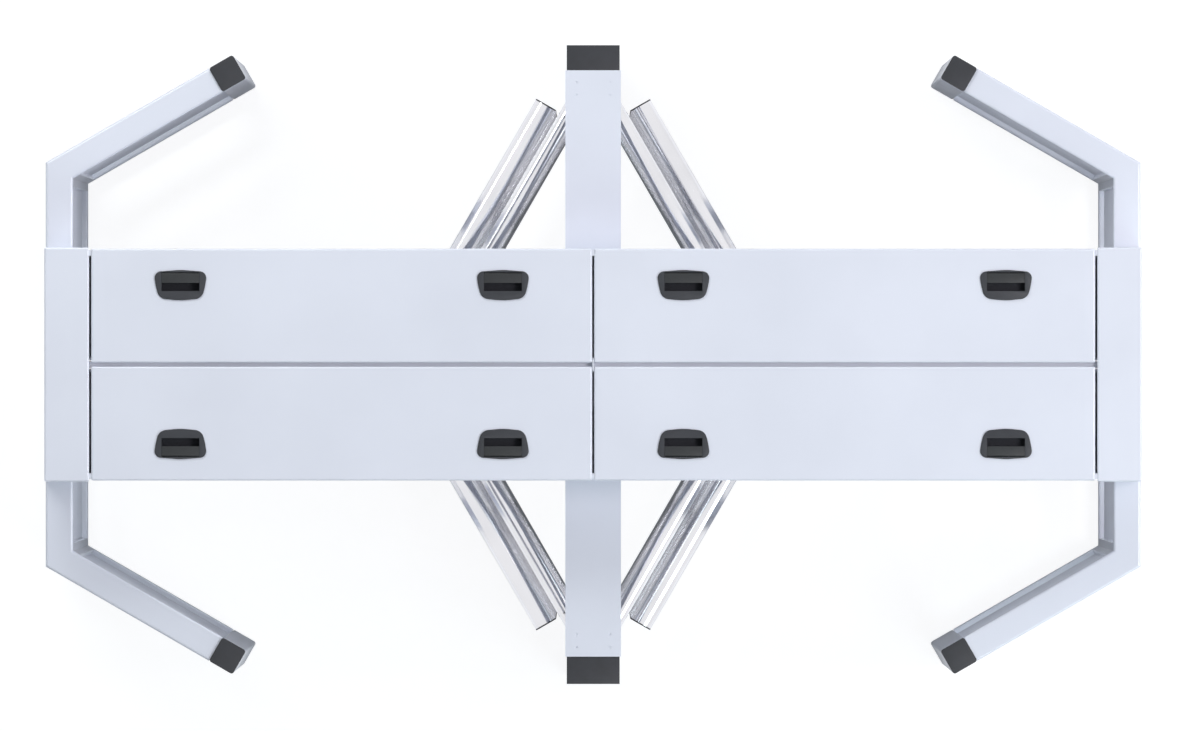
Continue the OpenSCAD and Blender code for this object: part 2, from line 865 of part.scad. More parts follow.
// Spine between the lids, with its three supports and the middle pin bracket
module roof_spine() {
    end_x = lid_x1 + support_inset;
    difference() {
        translate([-end_x - bracket_t, -spine_w / 2, spine_top - spine_h])
            cube([2 * (end_x + bracket_t), spine_w, spine_h]);
        translate([-end_x - bracket_t - over, -spine_w / 2 + spine_t, spine_top - spine_h - over])
            cube([2 * (end_x + bracket_t + over), spine_w - 2 * spine_t, spine_h - spine_t + over]);
    }
    for (x = [-end_x - bracket_t, -bracket_t / 2, end_x])
        difference() {
            translate([x, -support_w / 2, tray_floor])
                cube([bracket_t, support_w, spine_top - spine_h - tray_floor]);
            for (y = [-1, 1])
                translate([
                    x - over, y * support_w / 4, (tray_floor + spine_top - spine_h) / 2
                ])
                    rotate([0, 90, 0])
                        cylinder(h = bracket_t + 2 * over, d = support_hole_d);
        }
    difference() {
        translate([-bracket_t / 2, -spine_w / 2, spine_top])
            cube([bracket_t, spine_w, lid_under - spine_top]);
        both_rows()
            translate([-bracket_t, lid_pin_y, lid_pin_z])
                rotate([0, 90, 0]) cylinder(h = 2 * bracket_t, d = lid_pin_d + 2 * fit_gap);
    }
}

module end_cover() {
    cover_y = lid_y1 + end_cover_proud;
    lip_y = flange_y - opening_gap;
    translate([-half_l, 0, 0])
        difference() {
            translate([0, -cover_y, post_h])
                folded_cap([end_cover_l, 2 * cover_y, lid_top - post_h], lid_round);
            translate([end_cover_l - lid_t - over, -cover_y - over, post_h - over])
                cube([lid_t + 2 * over, cover_y - lip_y + over, lid_under - post_h + over]);
            translate([end_cover_l - lid_t - over, lip_y, post_h - over])
                cube([lid_t + 2 * over, cover_y - lip_y + over, lid_under - post_h + over]);
            translate([end_cover_l - lid_t - over, -cover_y - over, post_h - over])
                cube([lid_t + 2 * over, 2 * (cover_y + over), roof_h - lip_h + over]);
            // room for the spine
            translate([end_cover_l - lid_t - over, -spine_w / 2 - opening_gap, post_h])
                cube([
                    lid_t + 2 * over, spine_w + 2 * opening_gap, spine_top + opening_gap - post_h
                ]);
            both_rows()
                translate([end_cover_l - lid_t - over, lid_pin_y, lid_pin_z])
                    rotate([0, 90, 0])
                        cylinder(h = lid_t + 2 * over, d = lid_pin_d + 2 * fit_gap);
        }
}

module lid_pivot_pins() {
    pin_reach = lid_t + ear_l;
    both_rows()
        translate([0, lid_pin_y, lid_pin_z]) rotate([0, 90, 0]) {
            translate([0, 0, -lid_x0 - pin_reach])
                cylinder(h = 2 * (lid_x0 + pin_reach), d = lid_pin_d);
            for (x = [-1, 1])
                translate([0, 0, x * (lid_x1 + cover_x + lid_t - pin_reach) / 2])
                    cylinder(
                        h = pin_reach + lid_end_gap + lid_t, d = lid_pin_d, center = true
                    );
        }
}

// Lid over the right rear quarter
module lid() {
    ear_h = lid_pin_drop - lid_t + ear_w / 2 - lid_pin_inset;
    difference() {
        translate([lid_x0, lid_y0, lid_top - skirt_h])
            folded_cap([lid_l, lid_d, skirt_h], lid_round);
        // room for the tray's walls at both ends
        translate([lid_x0 - over, flange_y - opening_gap, lid_top - skirt_h - over])
            cube([
                lid_l + 2 * over, lid_y1 - lid_t - flange_y + opening_gap,
                skirt_h - lid_t + over
            ]);
        translate([lid_x0 - over, lid_y0 - over, lid_top - skirt_h - over])
            cube([lid_l + 2 * over, flange_y - lid_y0, skirt_h - lid_end_h + over]);
        translate([lid_x0 + lid_t, lid_y0 - over, lid_top - skirt_h - over])
            cube([lid_l - 2 * lid_t, lid_t + 2 * over, skirt_h - lid_fold_h + over]);
        translate([lid_x0 - over, lid_y0 - over, lid_top - skirt_h - over])
            cube([lid_l + 2 * over, ear_w, skirt_h - lid_fold_h + over]);
        pin_holes();
        latch_places() cup_block(opening_gap);
    }
    // ears on the pivot pins
    difference() {
        for (x = [lid_x0 + lid_t, lid_x1 - lid_t - ear_l])
            translate([x, lid_y0 + lid_t, lid_top - lid_fold_h])
                cube([ear_l, ear_w - lid_t, lid_fold_h - lid_t]);
        pin_holes();
    }
    // stiffeners of folded sheet
    for (x = [-stiffener_x, stiffener_x])
        translate([lid_mid_x + x - stiffener_w / 2, lid_y0 + ear_w, lid_under - stiffener_h])
            difference() {
                cube([stiffener_w, flange_y - 2 * opening_gap - lid_y0 - ear_w, stiffener_h]);
                translate([lid_t, -over, lid_t])
                    cube([stiffener_w - 2 * lid_t, lid_d, stiffener_h - lid_t]);
            }
}

module pin_holes() {
    translate([0, lid_pin_y, lid_pin_z])
        rotate([0, 90, 0]) cylinder(h = half_l, d = lid_pin_d + 2 * fit_gap);
}

module latch_places() {
    for (x = [-latch_pitch / 2, latch_pitch / 2])
        translate([lid_mid_x + x, latch_y, lid_top]) children();
}

// Outline points with each corner of a polygon rounded to its own radius
function rounded_points(pts, radii, steps) = [
    for (i = [0:len(pts) - 1])
        let (
            p = pts[i],
            a = pts[(i + len(pts) - 1) % len(pts)] - p,
            b = pts[(i + 1) % len(pts)] - p,
            u = a / norm(a),
            v = b / norm(b),
            half = acos(u * v) / 2,
            mid = (u + v) / norm(u + v),
            centre = p + mid * radii[i] / sin(half),
            start = atan2(-mid[1], -mid[0]),
            sweep = 90 - half
        )
        for (s = [0:steps])
            let (angle = start - sweep + 2 * sweep * s / steps)
                centre + radii[i] * [cos(angle), sin(angle)]
];

// Plan of a bezel, wide towards the lid's outer edge
module bezel_plan() {
    mid_hw = (bezel_inner_hw + bezel_outer_hw) / 2 + bezel_side_bulge;
    pts = [
        [-bezel_inner_hw, -bezel_d / 2 + bezel_bulge], [0, -bezel_d / 2],
        [bezel_inner_hw, -bezel_d / 2 + bezel_bulge], [mid_hw, 0],
        [bezel_outer_hw, bezel_d / 2 - bezel_bulge], [0, bezel_d / 2],
        [-bezel_outer_hw, bezel_d / 2 - bezel_bulge], [-mid_hw, 0]
    ];
    wide = 2.5 * bezel_d;
    radii = [
        bezel_inner_round, wide, bezel_inner_round, wide,
        bezel_round, wide, bezel_round, wide
    ];
    polygon(rounded_points(pts, radii, 8));
}

cup_front = slot_front + cup_wall + seat_gap;
cup_back = paddle_pivot + barrel_d / 2 + cup_wall;
cup_hw = paddle_hw + opening_gap + cup_wall;

// Block that the cup fills in the lid, with a gap all round
module cup_block(gap) {
    translate([-cup_hw - gap, -cup_front - gap, -cup_h])
        cube([2 * (cup_hw + gap), cup_front + cup_back + 2 * gap, cup_h + over]);
}

module bezel() {
    open_front = -slot_front;
    open_back = cup_back - cup_wall + seat_gap;
    hook_half = hook_w / 2 + opening_gap;
    swing = cup_h;
    difference() {
        union() {
            linear_extrude(bezel_t) bezel_plan();
            translate([-cup_hw, -cup_front, -cup_h])
                cube([2 * cup_hw, cup_front + cup_back, cup_h]);
        }
        translate([-paddle_hw - opening_gap, open_front, -cup_h + cup_wall])
            cube([
                2 * (paddle_hw + opening_gap), open_back - open_front,
                cup_h - cup_wall + bezel_t + over
            ]);
        // way out for the hook, down and back
        translate([-hook_half, paddle_pivot - swing, -cup_h - over])
            cube([2 * hook_half, swing + cup_back, cup_h - pivot_drop]);
        translate([0, paddle_pivot, bezel_t - pivot_drop])
            rotate([0, 90, 0])
                cylinder(
                    h = 2 * (cup_hw + over), d = paddle_pin_d + 2 * fit_gap, center = true
                );
    }
}

module lid_bezels() {
    latch_places() bezel();
}

// Paddle with its barrel, pivot ends and hook
module paddle() {
    hook_top = -cup_h - opening_gap;
    tip_y = flange_y - hook_gap - latch_y;
    tip_top = tray_top - tray_t - lid_top;
    plate_d = paddle_pivot - slot_back - seat_gap;
    translate([-paddle_hw, slot_back + seat_gap, bezel_t - paddle_t])
        cube([2 * paddle_hw, plate_d, paddle_t]);
    translate([0, paddle_pivot, bezel_t - pivot_drop]) rotate([0, 90, 0]) {
        cylinder(h = 2 * paddle_hw, d = barrel_d, center = true);
        cylinder(h = 2 * (paddle_hw + opening_gap + cup_wall), d = paddle_pin_d, center = true);
    }
    translate([-hook_w / 2, paddle_pivot - hook_t / 2, hook_top - hook_t])
        cube([hook_w, hook_t, hook_t - hook_top + bezel_t - pivot_drop]);
    translate([-hook_w / 2, paddle_pivot - hook_t / 2, hook_top - hook_t])
        cube([hook_w, tip_y - paddle_pivot + hook_t / 2, hook_t]);
    translate([-hook_w / 2, tip_y - hook_t, hook_top - hook_t])
        cube([hook_w, hook_t, tip_top - hook_top + hook_t]);
}

// Latch of the right rear lid, the outer one nearer to the roof's end
module placed_paddle(outer) {
    translate([lid_mid_x + (outer ? 1 : -1) * latch_pitch / 2, latch_y, lid_top]) paddle();
}

// Mechanism of the left rotor
module bearing_bolt_holes(z, h) {
    for (i = [0:bearing_bolt_count - 1])
        rotate([0, 0, (i + 0.5) * 360 / bearing_bolt_count])
            translate([bearing_bolt_circle / 2, 0, z - over])
                cylinder(h = h + 2 * over, d = bolt_hole_d);
}

module at_pawls() {
    for (turn = [0, 180])
        rotate([0, 0, turn]) children();
}

module mechanism_plate() {
    at_rotor() {
        difference() {
            translate([-plate_l / 2, -plate_w / 2, tray_floor]) cube([plate_l, plate_w, plate_t]);
            translate([0, 0, tray_floor - over])
                cylinder(h = plate_t + 2 * over, d = spindle_hole_d);
            bearing_bolt_holes(tray_floor, plate_t);
            for (x = [-1, 1], y = [-1, 1])
                translate([
                    x * (plate_l / 2 - plate_bolt_inset), y * (plate_w / 2 - plate_bolt_inset),
                    tray_floor - over
                ])
                    cylinder(h = plate_t + 2 * over, d = bolt_hole_d);
        }
        at_pawls() translate([-pawl_pivot_x, pawl_y, plate_top]) {
            cylinder(h = pawl_z - plate_top - seat_gap, d = 2 * pawl_stud_d);
            cylinder(h = pawl_z + pawl_hub_h + collar_h / 2 - plate_top, d = pawl_stud_d);
        }
    }
}

module top_bearing() {
    at_rotor()
        difference() {
            union() {
                translate([0, 0, plate_top]) cylinder(h = bearing_flange_t, d = bearing_flange_d);
                translate([0, 0, plate_top]) cylinder(h = bearing_h, d = bearing_body_d);
            }
            translate([0, 0, plate_top - over])
                cylinder(h = bearing_h + 2 * over, d = spindle_d + 2 * fit_gap);
            bearing_bolt_holes(plate_top, bearing_flange_t);
        }
}

module lock_wheel() {
    at_rotor()
        difference() {
            union() {
                translate([0, 0, lock_z]) cylinder(h = lock_t, d = lock_d);
                translate([0, 0, lock_hub_z]) cylinder(h = lock_hub_h, d = hub_d);
            }
            translate([0, 0, lock_hub_z - over])
                cylinder(h = lock_hub_h + 2 * over, d = spindle_d + 2 * fit_gap);
            for (i = [0:notch_count - 1])
                rotate([0, 0, 30 + i * 360 / notch_count])
                    translate([lock_d / 2 - notch_d, -notch_w / 2, lock_z - over])
                        cube([notch_d + over, notch_w, lock_t + 2 * over]);
        }
}

// Pawl over the notch at 90 degrees; it turns towards the wheel to lock
module pawl() {
    nose_x = nose_w / 4;
    nose_bottom = lock_d / 2 + nose_gap;
    nose_root = (pawl_w - nose_w) / 2;
    at_rotor()
        difference() {
            union() {
                translate([0, 0, pawl_z]) linear_extrude(pawl_t) {
                    translate([-pawl_pivot_x, pawl_y - pawl_w / 2])
                        square([pawl_pivot_x + nose_x + pawl_w / 2, pawl_w]);
                    polygon([
                        [nose_x - nose_w / 2 - nose_root, pawl_y],
                        [nose_x - nose_w / 2, nose_bottom],
                        [nose_x + nose_w / 2, nose_bottom],
                        [nose_x + nose_w / 2 + nose_root, pawl_y]
                    ]);
                }
                translate([-pawl_pivot_x, pawl_y, pawl_z]) cylinder(h = pawl_hub_h, d = pawl_hub_d);
            }
            translate([-pawl_pivot_x, pawl_y, pawl_z - over])
                cylinder(h = pawl_hub_h + 2 * over, d = pawl_stud_d + 2 * fit_gap);
        }
}

// Coil between two cheeks on a riser, its plunger towards the pawl
module lock_solenoid() {
    case_y = pawl_y + pawl_w / 2 + seat_gap + plunger_l;
    axis_h = pawl_z + pawl_t / 2 - plate_top;
    riser_h = axis_h - coil_d / 2 + solenoid_cheek_t / 2;
    cheek_h = axis_h + coil_d / 2 + solenoid_cheek_t / 2;
    at_rotor() at_pawls()
        translate([-pawl_pivot_x / 2, case_y, plate_top]) {
            translate([-solenoid_w / 2, 0, 0]) cube([solenoid_w, solenoid_l, riser_h]);
            for (y = [0, solenoid_l - solenoid_cheek_t])
                translate([-solenoid_w / 2, y, 0]) cube([solenoid_w, solenoid_cheek_t, cheek_h]);
            translate([0, solenoid_l - solenoid_cheek_t / 2, axis_h])
                rotate([90, 0, 0]) cylinder(h = solenoid_l - solenoid_cheek_t, d = coil_d);
            translate([0, solenoid_cheek_t, axis_h])
                rotate([90, 0, 0]) cylinder(h = plunger_l + solenoid_cheek_t, d = plunger_d);
        }
}

// Half the angle that a tooth fills at radius r
function involute(a) = tan(a) * 180 / PI - a;
function tooth_half(teeth, r) =
    let (
        pitch_r = gear_module * teeth / 2,
        base_r = pitch_r * cos(pressure_angle),
        flank = acos(min(1, base_r / r)),
        thick = PI * gear_module / 2 - backlash / 2
    )
    thick / pitch_r / 2 * 180 / PI + involute(pressure_angle) - involute(flank);

// Outline of a gear with involute flanks
function gear_points(teeth, phase) =
    let (
        pitch_r = gear_module * teeth / 2,
        base_r = pitch_r * cos(pressure_angle),
        root_r = pitch_r - 1.25 * gear_module,
        tip_r = pitch_r + 0.95 * gear_module,
        low_r = max(base_r, root_r),
        steps = 3,
        flank = [for (s = [0:steps]) low_r + (tip_r - low_r) * s / steps],
        root_half = tooth_half(teeth, low_r)
    )
    [
        for (i = [0:teeth - 1])
            let (mid = phase + i * 360 / teeth)
                for (p = concat(
                    [[root_r, -root_half]],
                    [for (r = flank) [r, -tooth_half(teeth, r)]],
                    [for (s = [0:steps]) [flank[steps - s], tooth_half(teeth, flank[steps - s])]],
                    [[root_r, root_half]]
                ))
                    p[0] * [cos(mid + p[1]), sin(mid + p[1])]
    ];

module drive_gear() {
    hole_circle = (hub_d / 2 + gear_r) / 2;
    at_rotor() translate([0, 0, gear_z])
        difference() {
            union() {
                linear_extrude(gear_t) polygon(gear_points(gear_teeth, 0));
                cylinder(h = gear_hub_h, d = hub_d);
            }
            translate([0, 0, -over])
                cylinder(h = gear_hub_h + 2 * over, d = spindle_d + 2 * fit_gap);
            for (i = [0:gear_hole_count - 1])
                rotate([0, 0, i * 360 / gear_hole_count])
                    translate([hole_circle, 0, -over])
                        cylinder(h = gear_t + 2 * over, d = gear_hole_d);
        }
}

module pinion() {
    damper_top = plate_top + damper_h;
    at_rotor() translate([-gear_distance, 0, 0]) {
        translate([0, 0, gear_z])
            linear_extrude(gear_t) polygon(gear_points(pinion_teeth, 180 / pinion_teeth));
        translate([0, 0, damper_top - pinion_shaft_l])
            cylinder(h = gear_z + gear_t - damper_top + pinion_shaft_l, d = pinion_shaft_d);
    }
}

// Round body on a square flange, closed by a narrower cap
module rotary_damper() {
    bolt_place = damper_flange_w / 2 - bolt_hole_d;
    at_rotor() translate([-gear_distance, 0, plate_top])
        difference() {
            union() {
                linear_extrude(damper_flange_t)
                    difference() {
                        rounded_square([damper_flange_w, damper_flange_w], lid_round);
                        for (x = [-1, 1], y = [-1, 1])
                            translate([x * bolt_place, y * bolt_place]) circle(d = bolt_hole_d);
                    }
                cylinder(h = damper_h - damper_cap_h, d = damper_d);
                cylinder(h = damper_h, d = damper_cap_d);
            }
            translate([0, 0, damper_h - pinion_shaft_l - seat_gap])
                cylinder(h = damper_h, d = pinion_shaft_d + 2 * fit_gap);
        }
}

module cable_gland() {
    rotate([0, 90, 0]) {
        cylinder(h = gland_nut_h, d = gland_nut_d, $fn = 6);
        cylinder(h = gland_l, d = gland_d);
    }
}

// Box with an overhanging cover and a row of cable glands
module control_box() {
    body_l = control_l - 2 * control_lip;
    body_w = control_w - 2 * control_lip;
    body_h = control_h - control_cover_h;
    translate([-box_inset - control_l, -control_w / 2, tray_floor]) {
        translate([control_lip, control_lip, 0]) cube([body_l, body_w, body_h]);
        translate([0, 0, body_h]) rounded_block([control_l, control_w, control_cover_h], lid_round);
    }
    for (i = [0:gland_count - 1])
        translate([
            -box_inset - control_lip, (i - (gland_count - 1) / 2) * gland_pitch,
            tray_floor + body_h / 2
        ])
            cable_gland();
}

// Case with cooling slots and a step for the terminals
module power_supply() {
    terminal_w = supply_l / (terminal_count + 1);
    step_z = supply_h - 2 * terminal_h;
    translate([box_inset, -supply_w / 2, tray_floor]) {
        difference() {
            rounded_block([supply_l, supply_w, supply_h], lid_t);
            translate([-over, -over, step_z])
                cube([supply_l + 2 * over, terminal_d + over, supply_h]);
            for (i = [0:vent_count - 1])
                translate([
                    (supply_l - vent_l) / 2,
                    (supply_w + terminal_d - vent_w) / 2 + (i - (vent_count - 1) / 2) * vent_pitch,
                    supply_h - vent_depth
                ])
                    cube([vent_l, vent_w, vent_depth + over]);
        }
        for (i = [0:terminal_count - 1])
            translate([(i + 0.5) * terminal_w + lid_t / 2, lid_t, step_z])
                cube([terminal_w - lid_t, terminal_d - 2 * lid_t, terminal_h]);
    }
}

module left_side_rails() { color(paint) side_rails(); }
module right_side_rails() { color(paint) on_side(true) side_rails(); }
module left_side_posts() { color(paint) side_posts(); }
module right_side_posts() { color(paint) on_side(true) side_posts(); }
module left_barrier_tubes() { color(steel) barrier_tubes(); }
module right_barrier_tubes() { color(steel) on_side(true) barrier_tubes(); }
module left_comb_tubes() { color(steel) comb_tubes(right_level); }
module right_comb_tubes() { color(steel) on_side(true) comb_tubes(first_level); }
module comb_plugs() {
    color(dark) {
        comb_plug_row(right_level);
        on_side(true) comb_plug_row(first_level);
    }
}

module left_front_pawl() {
    at_rotor() rotate([0, 0, 180]) translate([rotor_x, 0, 0]) pawl();
}

module left_paddle(front, outer) {
    color(dark) on_side(true) on_row(front) placed_paddle(outer);
}

module right_paddle(front, outer) {
    color(dark) on_row(front) placed_paddle(outer);
}

left_side_rails();
right_side_rails();
left_side_posts();
right_side_posts();
left_barrier_tubes();
right_barrier_tubes();
color(dark) post_caps();
color(paint) centre_posts();
color(paint) centre_beam();
color(paint) beam_covers();
color(steel) beam_cover_screws();
left_comb_tubes();
right_comb_tubes();
comb_plugs();
color(paint) roof_tray();
color(paint) roof_spine();
color(paint) both_sides() end_cover();  // end_covers
color(steel) lid_pivot_pins();
color(zinc) both_sides() mechanism_plate();  // mechanism_plates
color(steel) both_sides() top_bearing();  // top_bearings
color(dark) both_sides() lock_solenoid();  // lock_solenoids
color(dark) both_sides() rotary_damper();  // rotary_dampers
color(dark) control_box();
color(zinc) power_supply();
color(zinc) both_sides() floor_bearing();  // floor_bearings
color(steel) rotor_column();  // left_rotor_column
color(steel) on_side(true) rotor_column();  // right_rotor_column
color(steel) wing_tubes(first_level);  // left_wing_tubes
color(steel) on_side(true) wing_tubes(right_level);  // right_wing_tubes
color(dark) wing_plugs(first_level);  // left_wing_plugs
color(dark) on_side(true) wing_plugs(right_level);  // right_wing_plugs
color(steel) spindles();  // left_spindles
color(steel) on_side(true) spindles();  // right_spindles
color(zinc) lock_wheel();  // left_lock_wheel
color(zinc) on_side(true) lock_wheel();  // right_lock_wheel
color(brass) drive_gear();  // left_drive_gear
color(brass) on_side(true) drive_gear();  // right_drive_gear
color(steel) pinion();  // left_pinion
color(steel) on_side(true) pinion();  // right_pinion
color(zinc) pawl();  // left_rear_pawl
color(zinc) left_front_pawl();
color(zinc) on_side(true) pawl();  // right_rear_pawl
color(zinc) on_side(true) left_front_pawl();  // right_front_pawl
color(paint) on_side(true) lid();  // left_rear_lid
color(paint) on_side(true) on_row(true) lid();  // left_front_lid
color(paint) lid();  // right_rear_lid
color(paint) on_row(true) lid();  // right_front_lid
color(dark) on_side(true) lid_bezels();  // left_rear_bezels
color(dark) on_side(true) on_row(true) lid_bezels();  // left_front_bezels
color(dark) lid_bezels();  // right_rear_bezels
color(dark) on_row(true) lid_bezels();  // right_front_bezels
left_paddle(false, true);  // left_rear_outer_paddle
left_paddle(false, false);  // left_rear_inner_paddle
left_paddle(true, true);  // left_front_outer_paddle
left_paddle(true, false);  // left_front_inner_paddle
right_paddle(false, true);  // right_rear_outer_paddle
right_paddle(false, false);  // right_rear_inner_paddle
right_paddle(true, true);  // right_front_outer_paddle
right_paddle(true, false);  // right_front_inner_paddle
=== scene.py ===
import math

import bmesh
import bpy
import numpy as np
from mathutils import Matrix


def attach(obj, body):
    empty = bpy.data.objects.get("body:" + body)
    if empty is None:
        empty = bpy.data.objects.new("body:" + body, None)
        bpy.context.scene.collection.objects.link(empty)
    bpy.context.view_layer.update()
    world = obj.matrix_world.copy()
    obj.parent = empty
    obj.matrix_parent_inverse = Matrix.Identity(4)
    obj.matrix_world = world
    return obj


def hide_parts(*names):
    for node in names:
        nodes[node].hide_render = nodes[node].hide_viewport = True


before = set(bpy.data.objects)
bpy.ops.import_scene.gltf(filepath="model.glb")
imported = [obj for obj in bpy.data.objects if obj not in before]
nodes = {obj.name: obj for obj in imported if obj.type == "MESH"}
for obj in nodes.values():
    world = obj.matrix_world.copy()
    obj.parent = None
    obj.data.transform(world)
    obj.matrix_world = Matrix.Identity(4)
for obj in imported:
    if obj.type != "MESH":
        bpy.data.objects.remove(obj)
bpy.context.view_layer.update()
scene = bpy.context.scene
print("frame loaded:", len(nodes), "nodes")


def toLinear(hexCode):
    # sRGB hex to linear, a channel at a time: c/12.92 up to 0.04045, else ((c + 0.055)/1.055)^2.4
    channels = [int(hexCode[i:i + 2], 16) / 255 for i in (0, 2, 4)]
    return [c / 12.92 if c <= 0.04045 else ((c + 0.055) / 1.055) ** 2.4 for c in channels] + [1.0]


def addNode(tree, kind, settings=None, links=None):
    # settings: an input's name or number sets its value, any other name is a property of the node
    node = tree.nodes.new(kind)
    for name, value in (settings or {}).items():
        if isinstance(name, int) or name in node.inputs:
            node.inputs[name].default_value = value
        else:
            setattr(node, name, value)
    for name, output in (links or {}).items():
        tree.links.new(output, node.inputs[name])
    return node


def newMaterial(name):
    material = bpy.data.materials.new(name)
    material.use_nodes = True
    tree = material.node_tree
    tree.nodes.clear()
    return material, tree


noiseReach = (0.3, 0.7)  # most of a noise lies between these


def tintBetween(tree, noise, low, high):
    # spreads a noise over two hex colours
    spread = addNode(tree, "ShaderNodeMapRange",
                     {"From Min": noiseReach[0], "From Max": noiseReach[1]}, {"Value": noise})
    mix = addNode(tree, "ShaderNodeMix", {"data_type": "RGBA"}, {0: spread.outputs[0]})
    mix.inputs[6].default_value = toLinear(low)
    mix.inputs[7].default_value = toLinear(high)
    return mix.outputs[2]


def millimetres(size):
    # a texture's Scale for features of this size, on coordinates in metres
    return 1000.0 / size


# camera: straight above with a very long lens, as the photograph shows no side of the posts;
# in metres, but the sensor in millimetres
view = {
    "photoWidth": 1187,
    "metresPerPixel": 0.002186,
    "height": 70.0,  # above the roof
    "middle": (0.0007, -0.0020),
    "roofTop": 2.300,
    "sensor": 36.0,
    "clip": (1.0, 200.0),  # nearest and furthest that it draws
}
cameraData = bpy.data.cameras.new("topCamera")
cameraData.sensor_width = view["sensor"]
cameraData.lens = view["sensor"] * view["height"] / (view["photoWidth"] * view["metresPerPixel"])
cameraData.clip_start, cameraData.clip_end = view["clip"]
camera = bpy.data.objects.new("topCamera", cameraData)
scene.collection.objects.link(camera)
camera.location = (view["middle"][0], view["middle"][1], view["roofTop"] + view["height"])
scene.camera = camera
scene.view_settings.view_transform = "Standard"
print("camera ready, lens", round(cameraData.lens))

# stage: pale floor, white surroundings and three soft lamps, in metres
studio = {
    "floorSize": 60.0,
    "floorGap": 0.001,  # below the feet, so that no two faces share a plane
    "floorColour": "949699",
    "floorLift": 0.85,  # white that the camera and reflections see on top of the lit floor
    "worldColour": "f2f6fc",
    "ceilingLight": 0.22,
    "wallLight": 2.3,
    "wallFade": 3.0,  # power by which the walls' light falls off towards the ceiling
    "wallEven": 0.75,  # share that all walls give alike
    "wallLean": (0.35, 0.35, 0.0),  # more from the right and from behind
    "screenTone": 0.12,
    "screenHeight": 0.6,  # the screens' upper end, as the upward part of a direction
    "screenSpan": (0.52, 0.82),  # their soft side edges, as its part to the front or rear
    "shadeHalf": (1.35, 0.85),  # half the shade's length and width
    "shadeEdge": 0.35,
    "shadeDepth": 0.98,  # share of the lift that the shade takes
    "lampAim": (0.0, 0.0, 1.6),
}
lamps = {
    "rightLamp": {"place": (5.0, 0.3, 8.0), "size": (2.6, 2.6), "power": 214.0,
                  "colour": (1.0, 0.92, 0.95)},
    "frontLamp": {"place": (3.2, -3.0, 5.2), "size": (2.6, 2.6), "power": 78.0,
                  "colour": (0.84, 1.0, 1.0)},
    "rearLamp": {"place": (-2.2, 3.0, 4.5), "size": (2.8, 0.8), "power": 72.0,
                 "colour": (0.97, 1.0, 0.98)},
}


def raysThatSeeWhite(tree):
    # 1 for camera, glossy and transmission rays and 0 for rays that light a matt surface, and
    # beside it 1 for glossy rays alone
    path = addNode(tree, "ShaderNodeLightPath")
    seen = addNode(tree, "ShaderNodeMath", {"operation": "MAXIMUM"},
                   {0: path.outputs["Is Camera Ray"], 1: path.outputs["Is Transmission Ray"]})
    both = addNode(tree, "ShaderNodeMath", {"operation": "MAXIMUM"},
                   {0: seen.outputs[0], 1: path.outputs["Is Glossy Ray"]})
    return both.outputs[0], path.outputs["Is Glossy Ray"]


def buildWorld():
    world = bpy.data.worlds.new("studioWorld")
    scene.world = world
    world.use_nodes = True
    tree = world.node_tree
    tree.nodes.clear()
    seen, glossy = raysThatSeeWhite(tree)
    toward = addNode(tree, "ShaderNodeTexCoord").outputs["Generated"]
    way = addNode(tree, "ShaderNodeSeparateXYZ", links={0: toward})
    # dark screens stand low in front and behind, which gives round steel its dark lines
    low = addNode(tree, "ShaderNodeMapRange", {
        "interpolation_type": "SMOOTHSTEP", "From Min": studio["screenHeight"], "From Max": 0.0
    }, {"Value": way.outputs["Z"]})
    aside = addNode(tree, "ShaderNodeMath", {"operation": "ABSOLUTE"}, {0: way.outputs["Y"]})
    ahead = addNode(tree, "ShaderNodeMapRange", {
        "interpolation_type": "SMOOTHSTEP",
        "From Min": studio["screenSpan"][0], "From Max": studio["screenSpan"][1]
    }, {"Value": aside.outputs[0]})
    screen = addNode(tree, "ShaderNodeMath", {"operation": "MULTIPLY"},
                     {0: low.outputs[0], 1: ahead.outputs[0]})
    shown = addNode(tree, "ShaderNodeMath", {"operation": "MULTIPLY"},
                    {0: screen.outputs[0], 1: glossy})
    tone = addNode(tree, "ShaderNodeMapRange", {"To Min": 1.0, "To Max": studio["screenTone"]},
                   {"Value": shown.outputs[0]})
    # the walls light the object more than the ceiling does:
    # ceiling + wall * (1 - z)^fade * (even + lean . direction)
    rise = addNode(tree, "ShaderNodeMath", {"operation": "SUBTRACT", 0: 1.0},
                   {1: way.outputs["Z"]})
    fade = addNode(tree, "ShaderNodeMath", {"operation": "POWER", 1: studio["wallFade"]},
                   {0: rise.outputs[0]})
    lean = addNode(tree, "ShaderNodeVectorMath",
                   {"operation": "DOT_PRODUCT", 1: studio["wallLean"]}, {0: toward})
    wall = addNode(tree, "ShaderNodeMath", {"operation": "ADD", 1: studio["wallEven"]},
                   {0: lean.outputs["Value"]})
    wallPart = addNode(tree, "ShaderNodeMath", {"operation": "MULTIPLY"},
                       {0: fade.outputs[0], 1: wall.outputs[0]})
    light = addNode(tree, "ShaderNodeMath", {
        "operation": "MULTIPLY_ADD", 1: studio["wallLight"], 2: studio["ceilingLight"]
    }, {0: wallPart.outputs[0]})
    soft = addNode(tree, "ShaderNodeBackground", {"Color": toLinear(studio["worldColour"])},
                   {"Strength": light.outputs[0]})
    white = addNode(tree, "ShaderNodeBackground", {"Color": (1.0, 1.0, 1.0, 1.0)},
                    {"Strength": tone.outputs[0]})
    both = addNode(tree, "ShaderNodeMixShader",
                   links={0: seen, 1: soft.outputs[0], 2: white.outputs[0]})
    addNode(tree, "ShaderNodeOutputWorld", links={"Surface": both.outputs[0]})


